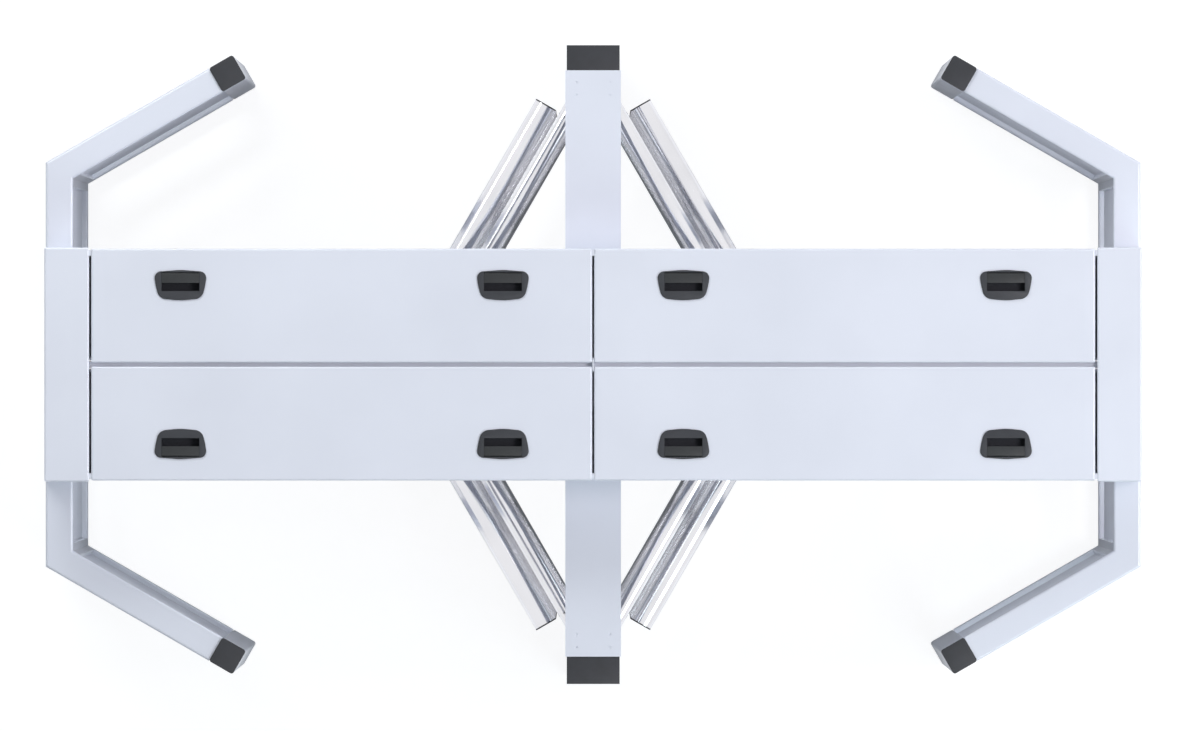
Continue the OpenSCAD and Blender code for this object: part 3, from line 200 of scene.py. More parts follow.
def buildFloor():
    half, z = studio["floorSize"] / 2, -studio["floorGap"]
    mesh = bpy.data.meshes.new("studioFloor")
    corners = [(-half, -half, z), (half, -half, z), (half, half, z), (-half, half, z)]
    mesh.from_pydata(corners, [], [(0, 1, 2, 3)])
    floor = bpy.data.objects.new("studioFloor", mesh)
    scene.collection.objects.link(floor)
    material, tree = newMaterial("pale matt floor")
    seen, glossy = raysThatSeeWhite(tree)
    # polished tubes see the floor under the roof as its shade leaves it: how far a point lies
    # outside the half sizes, max(|x| - a, |y| - b), over the width of the shade's edge
    where = addNode(tree, "ShaderNodeTexCoord").outputs["Object"]
    away = addNode(tree, "ShaderNodeVectorMath", {"operation": "ABSOLUTE"}, {0: where})
    spot = addNode(tree, "ShaderNodeSeparateXYZ", links={0: away.outputs["Vector"]})
    outX, outY = (
        addNode(tree, "ShaderNodeMath", {"operation": "SUBTRACT", 1: size}, {0: spot.outputs[axis]})
        for axis, size in zip("XY", studio["shadeHalf"]))
    outside = addNode(tree, "ShaderNodeMath", {"operation": "MAXIMUM"},
                      {0: outX.outputs[0], 1: outY.outputs[0]})
    shade = addNode(tree, "ShaderNodeMapRange", {
        "interpolation_type": "SMOOTHSTEP",
        "From Min": -studio["shadeEdge"], "From Max": studio["shadeEdge"],
        "To Min": studio["shadeDepth"], "To Max": 0.0
    }, {"Value": outside.outputs[0]})
    taken = addNode(tree, "ShaderNodeMath", {"operation": "MULTIPLY"},
                    {0: shade.outputs[0], 1: glossy})
    left = addNode(tree, "ShaderNodeMath", {"operation": "SUBTRACT"},
                   {0: seen, 1: taken.outputs[0]})
    lift = addNode(tree, "ShaderNodeMath", {"operation": "MULTIPLY", 1: studio["floorLift"]},
                   {0: left.outputs[0]})
    matt = addNode(tree, "ShaderNodeBsdfDiffuse", {"Color": toLinear(studio["floorColour"])})
    glow = addNode(tree, "ShaderNodeEmission", {"Color": (1.0, 1.0, 1.0, 1.0)},
                   {"Strength": lift.outputs[0]})
    both = addNode(tree, "ShaderNodeAddShader", links={0: matt.outputs[0], 1: glow.outputs[0]})
    addNode(tree, "ShaderNodeOutputMaterial", links={"Surface": both.outputs[0]})
    mesh.materials.append(material)


def addLamp(name, place, size, power, colour):
    # tilted from straight down by atan2(distance across, drop), then turned about z to its aim
    data = bpy.data.lights.new(name, "AREA")
    data.shape = "RECTANGLE"
    data.size, data.size_y, data.energy, data.color = size[0], size[1], power, colour
    lamp = bpy.data.objects.new(name, data)
    scene.collection.objects.link(lamp)
    lamp.location = place
    aim = np.array(studio["lampAim"]) - np.array(place)
    flat = math.hypot(aim[0], aim[1])
    turn = math.atan2(aim[1], aim[0]) - math.pi / 2
    lamp.rotation_euler = (math.atan2(flat, -aim[2]), 0.0, turn)


buildWorld()
buildFloor()
for name, lamp in lamps.items():
    addLamp(name, **lamp)
print("stage ready")

# places from the solids, in millimetres
places = {
    "rotorX": 433.0,  # of the rotors' axes, at y = 0
    "firstLevel": 230.0,
    "levelPitch": 170.0,
    "levelCount": 11,
    "columnR": 57.0,
    "wingR": 25.4,
    "combR": 20.0,
    "combOffset": 53.4,  # from the rotor axis to the combs' middle lines
    "postY": 640.0,  # inner faces of the centre posts
    "sideR": 737.0,  # from the rotor axis to the middle of each stretch of the barrier
    "barrierR": 20.0,
    "barrierStart": 30.0,  # ends of the tubes along a stretch, from its middle
    "barrierEnd": 391.5,
    "plateTop": 2131.0,
    "latchX": (197.35, 902.35),  # middles of the inner and outer latches
    "latchY": 173.5,
}


def rotorDistance(tree, where):
    # distance from the nearer rotor axis: sqrt((|x| - rotorX)^2 + y^2), the same all along a ring
    parts = addNode(tree, "ShaderNodeSeparateXYZ", links={0: where})
    away = addNode(tree, "ShaderNodeMath", {"operation": "ABSOLUTE"}, {0: parts.outputs["X"]})
    x = addNode(tree, "ShaderNodeMath", {"operation": "SUBTRACT", 1: places["rotorX"] / 1000},
                {0: away.outputs[0]})
    flat = addNode(tree, "ShaderNodeCombineXYZ",
                   links={"X": x.outputs[0], "Y": parts.outputs["Y"]})
    length = addNode(tree, "ShaderNodeVectorMath", {"operation": "LENGTH"}, {0: flat.outputs[0]})
    return length.outputs["Value"]


# finishes: colours from low to high, sizes of the patterns in millimetres, detail as a noise's
# octaves, roughness as its lowest and highest or as the spread about it, and the bump's depth at
# full strength in metres
coat = {"low": "dfe3ee", "high": "e4e8f3", "cloud": 260.0, "cloudDetail": 3.0, "peel": 3.0,
        "peelDetail": 2.0, "roughness": (0.25, 0.36), "bump": 0.1, "depth": 0.0004, "ior": 1.5,
        "gloss": 0.35, "glossRoughness": 0.14}


def powderCoat():
    # satin polyester powder coat on sheet steel: an even pale blue grey under a soft gloss, with
    # a faint orange peel that softens reflections
    material, tree = newMaterial("satin powder coat")
    where = addNode(tree, "ShaderNodeTexCoord").outputs["Object"]
    cloud = addNode(tree, "ShaderNodeTexNoise",
                    {"Scale": millimetres(coat["cloud"]), "Detail": coat["cloudDetail"]},
                    {"Vector": where})
    peel = addNode(tree, "ShaderNodeTexNoise",
                   {"Scale": millimetres(coat["peel"]), "Detail": coat["peelDetail"]},
                   {"Vector": where})
    colour = tintBetween(tree, cloud.outputs[0], coat["low"], coat["high"])
    rough = addNode(tree, "ShaderNodeMapRange",
                    {"To Min": coat["roughness"][0], "To Max": coat["roughness"][1]},
                    {"Value": cloud.outputs[0]})
    bump = addNode(tree, "ShaderNodeBump", {"Strength": coat["bump"], "Distance": coat["depth"]},
                   {"Height": peel.outputs[0]})
    skin = addNode(tree, "ShaderNodeBsdfPrincipled", {
        "IOR": coat["ior"], "Coat Weight": coat["gloss"], "Coat Roughness": coat["glossRoughness"]
    }, {"Base Color": colour, "Roughness": rough.outputs[0], "Normal": bump.outputs[0]})
    addNode(tree, "ShaderNodeOutputMaterial", links={"Surface": skin.outputs[0]})
    return material


steel = {"low": "e2e2e6", "high": "ececf0", "haze": 120.0, "hazeDetail": 2.0, "ring": 0.7,
         "ringDetail": 1.0, "roughness": (0.08, 0.14)}


def polishedSteel():
    # belt-polished stainless tube: near-white metal with clear reflections; the belt leaves
    # hair-fine rings round each tube, drawn 0.7 mm apart so that they show, and the hands that
    # push the wings a faint haze in patches of their size
    material, tree = newMaterial("polished stainless")
    where = addNode(tree, "ShaderNodeTexCoord").outputs["Object"]
    haze = addNode(tree, "ShaderNodeTexNoise",
                   {"Scale": millimetres(steel["haze"]), "Detail": steel["hazeDetail"]},
                   {"Vector": where})
    rings = addNode(tree, "ShaderNodeTexNoise", {
        "noise_dimensions": "1D", "Scale": millimetres(steel["ring"]),
        "Detail": steel["ringDetail"]
    }, {"W": rotorDistance(tree, where)})
    colour = tintBetween(tree, haze.outputs[0], steel["low"], steel["high"])
    rough = addNode(tree, "ShaderNodeMapRange",
                    {"To Min": steel["roughness"][0], "To Max": steel["roughness"][1]},
                    {"Value": rings.outputs[0]})
    skin = addNode(tree, "ShaderNodeBsdfPrincipled", {"Metallic": 1.0},
                   {"Base Color": colour, "Roughness": rough.outputs[0]})
    addNode(tree, "ShaderNodeOutputMaterial", links={"Surface": skin.outputs[0]})
    return material


moulded = {"drift": 30.0, "driftDetail": 3.0, "grainDetail": 2.0, "depth": 0.0004, "ior": 1.5,
           "spread": (-0.06, 0.08)}


def mouldedPlastic(name, low, high, roughness, grain, bump):
    # injection-moulded plastic: the mould's eroded grain breaks up the gloss, and the colour
    # drifts slowly with the flow
    material, tree = newMaterial(name)
    where = addNode(tree, "ShaderNodeTexCoord").outputs["Object"]
    drift = addNode(tree, "ShaderNodeTexNoise",
                    {"Scale": millimetres(moulded["drift"]), "Detail": moulded["driftDetail"]},
                    {"Vector": where})
    fine = addNode(tree, "ShaderNodeTexNoise",
                   {"Scale": millimetres(grain), "Detail": moulded["grainDetail"]},
                   {"Vector": where})
    colour = tintBetween(tree, drift.outputs[0], low, high)
    least, most = (roughness + step for step in moulded["spread"])
    rough = addNode(tree, "ShaderNodeMapRange", {"To Min": least, "To Max": most},
                    {"Value": fine.outputs[0]})
    relief = addNode(tree, "ShaderNodeBump", {"Strength": bump, "Distance": moulded["depth"]},
                     {"Height": fine.outputs[0]})
    skin = addNode(tree, "ShaderNodeBsdfPrincipled", {"IOR": moulded["ior"]}, {
        "Base Color": colour, "Roughness": rough.outputs[0], "Normal": relief.outputs[0]})
    addNode(tree, "ShaderNodeOutputMaterial", links={"Surface": skin.outputs[0]})
    return material


plated = {"patchDetail": 4.0, "fine": 1.5, "fineDetail": 2.0, "depth": 0.0003,
          "spread": (-0.07, 0.1)}


def platedMetal(name, low, high, roughness, patch, bump):
    # dipped or rolled sheet metal: patches of slightly different tone and gloss over a fine tooth
    material, tree = newMaterial(name)
    where = addNode(tree, "ShaderNodeTexCoord").outputs["Object"]
    patches = addNode(tree, "ShaderNodeTexNoise",
                      {"Scale": millimetres(patch), "Detail": plated["patchDetail"]},
                      {"Vector": where})
    fine = addNode(tree, "ShaderNodeTexNoise",
                   {"Scale": millimetres(plated["fine"]), "Detail": plated["fineDetail"]},
                   {"Vector": where})
    colour = tintBetween(tree, patches.outputs[0], low, high)
    least, most = (roughness + step for step in plated["spread"])
    rough = addNode(tree, "ShaderNodeMapRange", {"To Min": least, "To Max": most},
                    {"Value": patches.outputs[0]})
    relief = addNode(tree, "ShaderNodeBump", {"Strength": bump, "Distance": plated["depth"]},
                     {"Height": fine.outputs[0]})
    skin = addNode(tree, "ShaderNodeBsdfPrincipled", {"Metallic": 1.0}, {
        "Base Color": colour, "Roughness": rough.outputs[0], "Normal": relief.outputs[0]})
    addNode(tree, "ShaderNodeOutputMaterial", links={"Surface": skin.outputs[0]})
    return material


turned = {"patch": 25.0, "patchDetail": 3.0, "ringDetail": 2.0, "depth": 0.0003,
          "spread": (-0.08, 0.08)}


def turnedMetal(name, low, high, roughness, feed, bump):
    # metal faced on a lathe: the tool leaves rings round the rotor axis, a feed apart
    material, tree = newMaterial(name)
    where = addNode(tree, "ShaderNodeTexCoord").outputs["Object"]
    rings = addNode(tree, "ShaderNodeTexNoise", {
        "noise_dimensions": "1D", "Scale": millimetres(feed), "Detail": turned["ringDetail"]
    }, {"W": rotorDistance(tree, where)})
    patches = addNode(tree, "ShaderNodeTexNoise",
                      {"Scale": millimetres(turned["patch"]), "Detail": turned["patchDetail"]},
                      {"Vector": where})
    colour = tintBetween(tree, patches.outputs[0], low, high)
    least, most = (roughness + step for step in turned["spread"])
    rough = addNode(tree, "ShaderNodeMapRange", {"To Min": least, "To Max": most},
                    {"Value": rings.outputs[0]})
    relief = addNode(tree, "ShaderNodeBump", {"Strength": bump, "Distance": turned["depth"]},
                     {"Height": rings.outputs[0]})
    skin = addNode(tree, "ShaderNodeBsdfPrincipled", {"Metallic": 1.0}, {
        "Base Color": colour, "Roughness": rough.outputs[0], "Normal": relief.outputs[0]})
    addNode(tree, "ShaderNodeOutputMaterial", links={"Surface": skin.outputs[0]})
    return material


# colours of the painted shade inside the latches' cups, a matt dark grey
cup = {"low": "34363b", "high": "3c3e44", "grain": 1.6, "detail": 2.0, "roughness": 0.85,
       "bump": 0.2, "depth": 0.0004, "ior": 1.5, "specular": 0.2}


def cupShadeNylon():
    # the bezels' nylon inside the latch's cup, a matt dark grey: painted shade for the cup's deep
    # recess
    material, tree = newMaterial("nylon cup with painted shade")
    where = addNode(tree, "ShaderNodeTexCoord").outputs["Object"]
    grain = addNode(tree, "ShaderNodeTexNoise",
                    {"Scale": millimetres(cup["grain"]), "Detail": cup["detail"]},
                    {"Vector": where})
    colour = tintBetween(tree, grain.outputs[0], cup["low"], cup["high"])
    bump = addNode(tree, "ShaderNodeBump", {"Strength": cup["bump"], "Distance": cup["depth"]},
                   {"Height": grain.outputs[0]})
    skin = addNode(tree, "ShaderNodeBsdfPrincipled", {
        "IOR": cup["ior"], "Specular IOR Level": cup["specular"], "Roughness": cup["roughness"]
    }, {"Base Color": colour, "Normal": bump.outputs[0]})
    addNode(tree, "ShaderNodeOutputMaterial", links={"Surface": skin.outputs[0]})
    return material


# the cups' insides take painted shade
cupShadeLining = cupShadeNylon()
finishes = {
    "body_paint": powderCoat(),
    "polished_tube": polishedSteel(),
    # post caps and the plugs of wings and combs: charcoal with a dull sheen
    "cap_plastic": mouldedPlastic("moulded polyamide cap", low="222429", high="282a30",
                                  roughness=0.5, grain=1.4, bump=0.15),
    # bezels: charcoal with a silky gloss
    "latch_plastic": mouldedPlastic("glass-filled nylon bezel", low="272a30", high="2d3036",
                                    roughness=0.42, grain=1.2, bump=0.12),
    # paddles: the same nylon in a darker shade
    "paddle_plastic": mouldedPlastic("glass-filled nylon paddle", low="191c1f", high="1f2326",
                                     roughness=0.48, grain=1.2, bump=0.12),
    # spindles, pins, top bearings and pinions: bright rings that catch the light
    "turned_steel": turnedMetal("turned bright steel", low="b4b4b8", high="c6c6ca",
                                roughness=0.26, feed=0.8, bump=0.12),
    # plates, floor bearings, lock wheels, pawls and the new bolts: cloudy blue-white zinc
    "plated_steel": platedMetal("zinc-plated steel", low="a2a6ab", high="bfc3c6",
                                roughness=0.38, patch=18.0, bump=0.08),
    # drive gears: warm yellow with a clear machined sheen
    "gear_brass": turnedMetal("machined brass", low="b3965c", high="c8ad74",
                              roughness=0.28, feed=0.9, bump=0.12),
    # control box, solenoids and dampers: grained charcoal
    "device_case": mouldedPlastic("moulded ABS case", low="2b2d30", high="34363a",
                                  roughness=0.5, grain=1.5, bump=0.2),
    # power supply: folded aluminium, dull silver
    "supply_case": platedMetal("aluminium case", low="b1b4b8", high="c3c6c9",
                               roughness=0.42, patch=22.0, bump=0.06),
}

for node in nodes.values():
    for index, own in enumerate(node.data.materials):
        node.data.materials[index] = finishes[own.name.split(".")[0]]
print("materials ready")

# how new meshes are cleaned and shaded, in millimetres and degrees
making = {"merge": 0.004, "shortest": 0.002, "sharp": 38.0, "sharpHexagon": 25.0}


def gridQuads(rows, columns, closeRows=False):
    # quads between neighbouring rows of a grid whose last column meets the first
    lastRow = rows if closeRows else rows - 1
    row, column = np.meshgrid(np.arange(lastRow), np.arange(columns), indexing="ij")
    below, beside = (row + 1) % rows, (column + 1) % columns
    corners = [row * columns + column, row * columns + beside,
               below * columns + beside, below * columns + column]
    return np.stack(corners, axis=-1).reshape(-1, 4)


def ringAngles(steps, turns=1):
    # equal steps that add up to so many full turns, in radians
    return np.arange(steps) * 2 * math.pi * turns / steps


def turnedShape(profile, segments=24):
    # rows (radius, height, sides) carried round z: x, y = radius * f(t) * (cos t, sin t), where f
    # is 1 for a circle (sides 0) and 1 / cos((t mod 60) - 30 degrees) for a hexagon (sides 1) of
    # that half width across its flats
    rows = np.array(profile, float)
    turn = ringAngles(segments)
    hexagon = 1 / np.cos(np.mod(turn, math.pi / 3) - math.pi / 6)
    reach = rows[:, :1] * (1 + rows[:, 2:3] * (hexagon - 1))
    height = np.repeat(rows[:, 1:2], segments, axis=1)
    points = np.stack([reach * np.cos(turn), reach * np.sin(turn), height], axis=-1)
    return points.reshape(-1, 3), gridQuads(len(rows), segments)


def beadAround(path, across, outward, weld, sides=6):
    # weld bead: circles on a closed path, point = path + b(t) * (cos s * across + sin s * outward),
    # whose radius b swells by a share with each drop of weld metal
    count, s = len(path), ringAngles(sides)
    drop = weld["bead"] * (1 + weld["swell"] * np.cos(ringAngles(count, weld["drops"])))
    ring = (np.cos(s)[None, :, None] * across[:, None, :]
            + np.sin(s)[None, :, None] * outward[:, None, :])
    points = path[:, None, :] + drop[:, None, None] * ring
    return points.reshape(-1, 3), gridQuads(count, sides, closeRows=True)


def turnAbout(angles):
    # rotation matrices about z, one for each angle in degrees
    a = np.radians(np.asarray(angles, float))
    zero, one = np.zeros_like(a), np.ones_like(a)
    rows = [np.cos(a), -np.sin(a), zero, np.sin(a), np.cos(a), zero, zero, zero, one]
    return np.stack(rows, axis=-1).reshape(-1, 3, 3)


def copiesOf(shape, turns, offsets):
    # each copy is the shape turned, then moved; the quads' numbers go up by its point count
    points, quads = shape
    placed = np.einsum("kij,nj->kni", turns, points) + np.asarray(offsets, float)[:, None, :]
    faces = quads[None] + (np.arange(len(turns)) * len(points))[:, None, None]
    return placed.reshape(-1, 3), faces.reshape(-1, 4)


def joined(shapes):
    # several shapes as one; each one's quads go up by the points before it
    points, faces, count = [], [], 0
    for some, quads in shapes:
        points.append(some)
        faces.append(quads + count)
        count += len(some)
    return np.concatenate(points), np.concatenate(faces)


def mirrored(shape, x=1.0, y=1.0):
    # every point times (x, y, 1)
    return shape[0] * np.array([x, y, 1.0]), shape[1]


def putPiece(name, shape, body, slotName, replaced=(), sharp=making["sharp"]):
    # millimetre points into a mesh in metres: poles closed, faces outwards, sharp edges kept
    mesh = bpy.data.meshes.new(name)
    mesh.from_pydata((shape[0] / 1000).tolist(), [], shape[1].tolist())
    tidy = bmesh.new()
    tidy.from_mesh(mesh)
    bmesh.ops.remove_doubles(tidy, verts=tidy.verts, dist=making["merge"] / 1000)
    bmesh.ops.dissolve_degenerate(tidy, edges=tidy.edges, dist=making["shortest"] / 1000)
    bmesh.ops.recalc_face_normals(tidy, faces=tidy.faces)
    tidy.to_mesh(mesh)
    tidy.free()
    mesh.shade_smooth()
    mesh.set_sharp_from_angle(angle=math.radians(sharp))
    mesh.materials.append(finishes[slotName])
    piece = bpy.data.objects.new(name, mesh)
    scene.collection.objects.link(piece)
    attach(piece, body)
    if replaced:
        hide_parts(*replaced)


def levelHeights(start):
    # start + k * pitch for each level k of the tubes
    return start + places["levelPitch"] * np.arange(places["levelCount"])


# weld beads where the wing tubes enter the rotor columns
wingWeld = {"bead": 2.6, "swell": 0.1, "steps": 60, "drops": 20,
            "left": (60, 180, 300), "right": (120, 0, 240)}


def wingWelds(side, start):
    # the joint curve of two crossed round tubes: (sqrt(R^2 - (r sin t)^2), r sin t, r cos t)
    t = ringAngles(wingWeld["steps"])
    r, column = places["wingR"], places["columnR"]
    root = np.sqrt(column ** 2 - (r * np.sin(t)) ** 2)
    path = np.stack([root, r * np.sin(t), r * np.cos(t)], axis=-1)
    outward = np.stack([np.zeros_like(t), np.sin(t), np.cos(t)], axis=-1)
    across = np.repeat([[1.0, 0.0, 0.0]], len(t), axis=0)
    bead = beadAround(path, across, outward, wingWeld)
    heights, angles = levelHeights(start), wingWeld[side]
    turns = turnAbout(np.repeat(angles, len(heights)))
    x = np.full(len(turns), places["rotorX"] * (1 if side == "right" else -1))
    offsets = np.stack([x, np.zeros(len(turns)), np.tile(heights, len(angles))], axis=-1)
    putPiece(side + "_wing_welds", copiesOf(bead, turns, offsets), side + "_rotor",
             "polished_tube")


wingWelds("left", places["firstLevel"])
wingWelds("right", places["firstLevel"] - places["levelPitch"] / 2)

# weld beads where the comb tubes meet the centre posts; angle: of the tubes from x, in degrees
combWeld = {"bead": 2.2, "swell": 0.1, "steps": 48, "drops": 16, "angle": 60}


def combWelds(side, start):
    # a round tube cut by the post's face y = postY: with a its angle, y0 its root and r its
    # radius, the cut lies at s = (postY - y0 + r sin t cos a) / sin a along it
    t = ringAngles(combWeld["steps"])
    r, turn = places["combR"], math.radians(combWeld["angle"])
    along = np.array([math.cos(turn), math.sin(turn), 0.0])
    aside = np.array([math.sin(turn), -math.cos(turn), 0.0])
    root = np.array([-places["rotorX"], 0.0, 0.0]) + places["combOffset"] * aside
    outward = np.sin(t)[:, None] * aside + np.cos(t)[:, None] * np.array([0.0, 0.0, 1.0])
    reach = (places["postY"] - root[1] + r * np.sin(t) * math.cos(turn)) / math.sin(turn)
    path = root + reach[:, None] * along + r * outward
    across = np.repeat([along], len(t), axis=0)
    bead = beadAround(path, across, outward, combWeld)
    heights = levelHeights(start)
    offsets = np.stack([np.zeros_like(heights), np.zeros_like(heights), heights], axis=-1)
    row = copiesOf(bead, turnAbout(np.zeros(len(heights))), offsets)
    both = joined([row, mirrored(row, y=-1.0)])
    shape = mirrored(both, x=-1.0) if side == "right" else both
    putPiece(side + "_comb_welds", shape, "frame", "polished_tube")


combWelds("left", places["firstLevel"] - places["levelPitch"] / 2)
combWelds("right", places["firstLevel"])

# painted weld beads at both ends of the barrier's round tubes; ends: the angle that a stretch
# of the barrier faces, and a place along it
barrierWeld = {"bead": 2.4, "swell": 0.1, "steps": 42, "drops": 14, "ends": [
    (120, places["barrierStart"]), (120, places["barrierEnd"]), (180, -places["barrierEnd"]),
    (180, places["barrierEnd"]), (240, -places["barrierStart"]), (240, -places["barrierEnd"])]}


def barrierWelds(side):
    # circles of the tube's radius round its ends, (0, r sin t, r cos t), turned into each stretch
    t = ringAngles(barrierWeld["steps"])
    outward = np.stack([np.zeros_like(t), np.sin(t), np.cos(t)], axis=-1)
    across = np.repeat([[1.0, 0.0, 0.0]], len(t), axis=0)
    bead = beadAround(places["barrierR"] * outward, across, outward, barrierWeld)
    heights = levelHeights(places["firstLevel"])
    facing, along = np.array(barrierWeld["ends"]).T
    a = np.radians(facing)
    x = -places["rotorX"] + places["sideR"] * np.cos(a) - along * np.sin(a)
    y = places["sideR"] * np.sin(a) + along * np.cos(a)
    offsets = np.stack([np.repeat(x, len(heights)), np.repeat(y, len(heights)),
                        np.tile(heights, len(facing))], axis=-1)
    rows = copiesOf(bead, turnAbout(np.repeat(facing + 90, len(heights))), offsets)
    shape = mirrored(rows, x=-1.0) if side == "right" else rows
    putPiece(side + "_barrier_welds", shape, "frame", "body_paint")


barrierWelds("left")
barrierWelds("right")
print("welds ready")

# countersunk socket screws of the beam covers, painted with them; rims and tip: how far each is
# cut back across and down; turn: how far each screw is turned on from the last one, in degrees
coverScrew = {"x": 36.5, "rows": (619.0, 591.0), "top": 2126.3, "headR": 4.8, "shankR": 2.5,
              "length": 14.0, "socket": 1.5, "socketDepth": 1.6, "socketRim": (0.2, 0.15),
              "headRim": (0.25, 0.2), "tip": (0.7, 0.8), "turn": 17.0}


def coverScrews():
    # profile from the socket's floor out over the flat head, down its cone and along the shank
    s = coverScrew
    cone = s["headR"] - s["shankR"]
    profile = [
        (0, -s["socketDepth"], 1), (s["socket"], -s["socketDepth"], 1),
        (s["socket"], -s["socketRim"][1], 1), (s["socket"] + s["socketRim"][0], 0, 1),
        (s["headR"] - s["headRim"][0], 0, 0), (s["headR"], -s["headRim"][1], 0),
        (s["shankR"], -cone, 0), (s["shankR"], -s["length"] + s["tip"][1], 0),
        (s["shankR"] - s["tip"][0], -s["length"], 0), (0, -s["length"], 0)]
    rows = [sign * row for sign in (1, -1) for row in s["rows"]]
    x, y = np.meshgrid([-s["x"], s["x"]], rows)
    offsets = np.stack([x.ravel(), y.ravel(), np.full(x.size, s["top"])], axis=-1)
    shape = copiesOf(turnedShape(profile), turnAbout(np.arange(x.size) * s["turn"]), offsets)
    putPiece("cover_socket_screws", shape, "frame", "body_paint", replaced=["beam_cover_screws"])


coverScrews()

# bolts of the bearings, plates and dampers inside the roof: M8 on a washer; corner: height of the
# cone that cuts the head's corners; chamfer: its rows, as a share of the half width and a drop
# below the top
roofBolts = {"bearingCircle": 53.0, "bearingFlange": 10.0, "plateX": 176.0, "plateY": 191.0,
             "damperX": 569.25, "damperBolt": 29.0, "damperFlange": 6.0, "lift": 0.02,
             "washerR": 8.0, "washerThick": 1.6, "washerRim": (0.3, 0.2), "halfAcross": 6.5,
             "head": 5.3, "corner": 1.2, "chamfer": ((0.96, 0.15), (0.9, 0.0)), "turn": 23.0}


def cornersOf(side, circle, height):
    # four places on a circle round a rotor axis, at 45, 135, 225 and 315 degrees
    a = np.radians(45 + 90 * np.arange(4))
    return [(side * places["rotorX"] + circle * c, circle * s, height)
            for c, s in zip(np.cos(a), np.sin(a))]


def mechanismBolts():
    # washer and hexagon head with its corners chamfered; each is turned on from the last one, as
    # a spanner leaves them
    b = roofBolts
    base, top = b["washerThick"], b["washerThick"] + b["head"]
    rim, drop = b["washerRim"]
    profile = [(0, b["lift"], 0), (b["washerR"], b["lift"], 0), (b["washerR"], base - drop, 0),
               (b["washerR"] - rim, base, 0), (b["halfAcross"], base, 1),
               (b["halfAcross"], top - b["corner"], 1)]
    profile += [(b["halfAcross"] * share, top - down, 0) for share, down in b["chamfer"]]
    profile += [(0, top, 0)]
    spots = []
    for side in (-1, 1):
        spots += cornersOf(side, b["bearingCircle"], places["plateTop"] + b["bearingFlange"])
        spots += [(side * places["rotorX"] + x * b["plateX"], y * b["plateY"], places["plateTop"])
                  for x in (-1, 1) for y in (-1, 1)]
        spots += [(side * b["damperX"] + x * b["damperBolt"], y * b["damperBolt"],
                   places["plateTop"] + b["damperFlange"]) for x in (-1, 1) for y in (-1, 1)]
    turns = turnAbout(np.arange(len(spots)) * b["turn"])
    shape = copiesOf(turnedShape(profile), turns, spots)
    putPiece("mechanism_bolts", shape, "frame", "plated_steel", sharp=making["sharpHexagon"])


mechanismBolts()

# floor anchors of the bearings and the side rails: M12 nut, washer and the stud's end; nutEdge
# and nutCone: radius at the nut's foot and top, and the heights where its flats begin and end
anchors = {"bearingCircle": 61.0, "bearingTop": 8.0, "railX": 1170.0, "railY": 300.0,
           "railTop": 60.0, "lift": 0.02, "washerR": 12.0, "washerThick": 2.5,
           "washerRim": (0.3, 0.2), "halfAcross": 9.0, "nutEdge": (8.6, 3.0), "nutTop": 12.5,
           "nutCone": (8.5, 11.6), "studR": 5.9, "groove": 0.75, "pitch": 1.75,
           "threadStart": 12.6, "threadRows": 9, "tipR": 4.6, "tipTop": 20.4, "turn": 19.0}


def floorAnchors():
    # profile over the washer and the nut, then in and out along the stud's thread to its tip
    n = anchors
    rim, drop = n["washerRim"]
    profile = [(0, n["lift"], 0), (n["washerR"], n["lift"], 0),
               (n["washerR"], n["washerThick"] - drop, 0),
               (n["washerR"] - rim, n["washerThick"], 0), (n["nutEdge"][0], n["washerThick"], 0),
               (n["halfAcross"], n["nutEdge"][1], 1), (n["halfAcross"], n["nutCone"][1], 1),
               (n["nutCone"][0], n["nutTop"], 0)]
    profile += [(n["studR"] - n["groove"] * (i % 2), n["threadStart"] + n["pitch"] / 2 * i, 0)
                for i in range(n["threadRows"])]
    profile += [(n["tipR"], n["tipTop"], 0), (0, n["tipTop"], 0)]
    spots = []
    for side in (-1, 1):
        spots += cornersOf(side, n["bearingCircle"], n["bearingTop"])
        spots += [(side * n["railX"], y * n["railY"], n["railTop"]) for y in (-1, 1)]
    turns = turnAbout(np.arange(len(spots)) * n["turn"])
    shape = copiesOf(turnedShape(profile), turns, spots)
    putPiece("floor_anchor_nuts", shape, "frame", "plated_steel", sharp=making["sharpHexagon"])


floorAnchors()

# pan head screws of the control box's cover and the terminals of the power supply; edge: height
# of the rim, from which the crown rises to its flat top of radius crownR
caseScrews = {"boxX": (-190.0, -40.0), "boxY": 110.0, "boxTop": 2203.0, "terminalX": 43.75,
              "terminalPitch": 13.75, "terminalCount": 7, "terminalY": -90.0,
              "terminalTop": 2164.0, "lift": 0.02, "headR": 3.6, "crownR": 1.6, "edge": 0.4,
              "crown": 1.6, "crownSteps": 6, "socketR": (1.1, 1.0), "socketFloor": 0.9,
              "turn": 31.0}


def caseFasteners():
    # a pan head is a quarter ellipse from its rim to the edge of its socket
    c = caseScrews
    rise = np.linspace(0, math.pi / 2, c["crownSteps"])
    flat = c["headR"] - c["crownR"]
    dome = [(c["headR"] - flat * (1 - math.cos(u)), c["edge"] + c["crown"] * math.sin(u), 0)
            for u in rise]
    profile = [(0, c["lift"], 0), (c["headR"], c["lift"], 0)] + dome
    profile += [(c["socketR"][0], c["edge"] + c["crown"], 1),
                (c["socketR"][1], c["socketFloor"], 1), (0, c["socketFloor"], 1)]
    spots = [(x, y * c["boxY"], c["boxTop"]) for x in c["boxX"] for y in (-1, 1)]
    spots += [(c["terminalX"] + i * c["terminalPitch"], c["terminalY"], c["terminalTop"])
              for i in range(c["terminalCount"])]
    turns = turnAbout(np.arange(len(spots)) * c["turn"])
    shape = copiesOf(turnedShape(profile), turns, spots)
    putPiece("case_screws", shape, "frame", "plated_steel")


caseFasteners()
print("fasteners ready")

